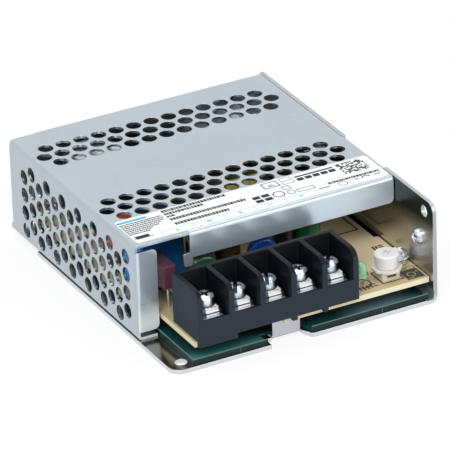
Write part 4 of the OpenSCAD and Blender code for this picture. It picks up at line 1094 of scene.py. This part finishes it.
# %% Dotted block
dots = random.Random(11)
cell_x, cell_y, side, filled, kept_share = 0.62, 0.62 * 0.82, 13, 0.9, 0.56
dots_x, dots_y = 29.1, -20.4
columns = [dots_x + cell_x * k for k in range(side)]
rows = [dots_y + cell_y * k for k in range(side)]
dotted = [bar(x, y, x + filled * cell_x, y + filled * cell_y) for x in columns for y in rows
          if dots.random() < kept_share]
flat_shapes("label_dots", dotted, black_ink)
print(len(dotted), "dots of", side * side)

# %% Terminal strip and symbols
cyan_ink = moulded("cyan_ink", (52, 172, 206), 0.5, tone=0.08, bump=0.0)
pale_ink = moulded("pale_cyan_ink", (150, 220, 212), 0.5, tone=0.08, bump=0.0)
field, strip_left, strip_low, strip_high = 9.6, -30.7, -26.6, -24.35
dividers = [strip_left + field * k for k in range(6)]
strip = [bar(x - 0.12, strip_low, x + 0.12, strip_high) for x in dividers]
flat_shapes("label_strip", strip + [bar(dividers[0], strip_high, dividers[-1], -24.1)], pale_ink)
pen, base, top, stem_l, stem_r = 0.3, -26.2, -24.9, -0.6, 0.2
line_sign = [(stem_l, base, stem_l + pen, top), (stem_l, base, stem_r, base + pen)]
neutral_sign = [(stem_l, base, stem_l + pen, top), (stem_r, base, stem_r + pen, top)]
earth_sign = [(-0.2, -25.5, 0.1, -24.8), (-0.8, -25.6, 0.6, -25.4), (-0.55, -25.95, 0.35, -25.77),
              (-0.3, -26.3, 0.1, -26.12)]
minus_sign = [(-0.8, -25.65, 0.4, -25.4)]
plus_sign = [(-0.9, -25.65, 0.3, -25.4), (-0.42, -26.15, -0.18, -24.9)]
symbols = [bar(-39.2, -14.9, -30.2, -13.9)]
for left, sign in zip(dividers, (line_sign, neutral_sign, earth_sign, minus_sign, plus_sign)):
    x = left + field / 2
    symbols += [bar(x + x0, y0, x + x1, y1) for x0, y0, x1, y1 in sign]
    if sign is neutral_sign:
        start, end = x + stem_l, x + stem_r + pen
        symbols.append([(start, top), (start, top - pen), (end, base), (end, base + pen)])
flat_shapes("label_symbols", symbols, cyan_ink)
print(len(symbols), "strokes of symbols")

# %% [markdown]
# ## Print on the board
# Dark brown outlines and short legends, screen-printed before the parts were fitted, tell where adjuster,
# lamp and coil belong. Beside the front corner lies a solid block with a few marks spared; there is nothing
# to read.

# %% Board print
silk = moulded("board_print", (58, 50, 40), 0.5, tone=0.2, bump=0.0)
bare = moulded("board_bare_spots", (176, 158, 122), 0.45, grain=2500.0, tone=0.2)
silk_height = board_top + 0.02
knob_x, knob_y, _ = over_middle(*box_mm("trimmer_knob"), 0)
lamp_x, lamp_y, _ = over_middle(lamp_low, lamp_high, 0)
legend = [bar(33.6, -46.6, 38.9, -41.2)] + frame_of(36.2, -41.0, 38.9, -39.4, 0.25)
legend += frame_of(34.2, -40.9, 35.9, -39.6, 0.25) + frame_of(26.0, -13.0, 36.8, -3.2, 0.6)
legend += frame_of(knob_x - 3.5, knob_y - 4.1, knob_x + 3.5, knob_y + 3.6, 0.45)
lamp_ticks = ((-2.2, -3.5, -1.6, -1.5), (-1.0, -3.7, -0.4, -1.7), (0.2, -3.7, 0.8, -1.5),
              (1.4, -3.5, 2.0, -1.3), (2.3, -3.2, 3.5, -2.6), (2.3, -2.0, 3.3, -1.4))
legend += ring(lamp_x, lamp_y, 2.8, 0.5)
legend += [bar(lamp_x + x0, lamp_y + y0, lamp_x + x1, lamp_y + y1) for x0, y0, x1, y1 in lamp_ticks]
legend += [bar(34.4, -26.4, 35.0, -24.0), bar(35.3, -26.4, 35.9, -24.2)]
legend += [bar(36.2, y, 37.6, y + 0.6) for y in (-25.8, -24.8)]
flat_shapes("board_legend", legend, silk, silk_height)
spared = ring(36.0, -43.9, 1.3, 0.3) + [bar(34.2, -46.0, 35.9, -45.75), bar(37.7, -43.2, 38.4, -42.7)]
flat_shapes("board_spared_marks", spared, bare, silk_height + 0.01)
print(len(legend), "strokes on the board")

# %% [markdown]
# ## Small things that the eye expects
# The window in the adjuster's base shows the brown track of its wiper, and in the clear lamp stand the two
# posts that carry the chip. Behind the left wall's holes the board reaches further out, so a margin of
# laminate is added, and a lap of the cover's sheet closes the slot at its back left corner.

# %% Track, posts, margin and lap
def box_mesh(low, high):
    """A plain block between two corners in millimetres."""
    (x0, y0, z0), (x1, y1, z1) = low, high
    return solid_mesh([(x, y, z) for z in (z0, z1) for x, y in bar(x0, y0, x1, y1)], block_faces)


half_track, window_y = 1.38, knob_y - 2.8
track = box_mesh((knob_x - half_track, window_y + 0.5, board_top + 0.62),
                 (knob_x + half_track, window_y + 1.19, board_top + 1.68))
add_piece("carbon_track", track, moulded("carbon_track", (92, 66, 50), 0.5, tone=0.2))
margin_width, margin_near, margin_far = 3.6, -19.0, 38.0
margin = box_mesh((board_low.x - margin_width, margin_near, board_low.z),
                  (board_low.x, margin_far, board_high.z))
add_piece("board_margin", margin, board)
lap_left, lap_right, lap_foot, lap_top = -35.2, -31.6, 3.0, 27.5
lap_near, lap_far = cover_high.y - 1.4, cover_high.y - 0.9
lap = box_mesh((lap_left, lap_near, lap_foot), (lap_right, lap_far, lap_top))
add_piece("corner_lap", lap, cover_steel)
foot, half_post = lamp_low.z + 0.05, 0.2
posts = [box_mesh((lamp_x + x0, lamp_y - half_post, foot),
                  (lamp_x + x1, lamp_y + half_post, lamp_low.z + tall))
         for x0, x1, tall in ((-1.05, -0.1, 2.9), (0.3, 0.9, 2.6))]
add_piece("lamp_posts", joined(*posts), tin)
print("track, posts, margin and lap added")
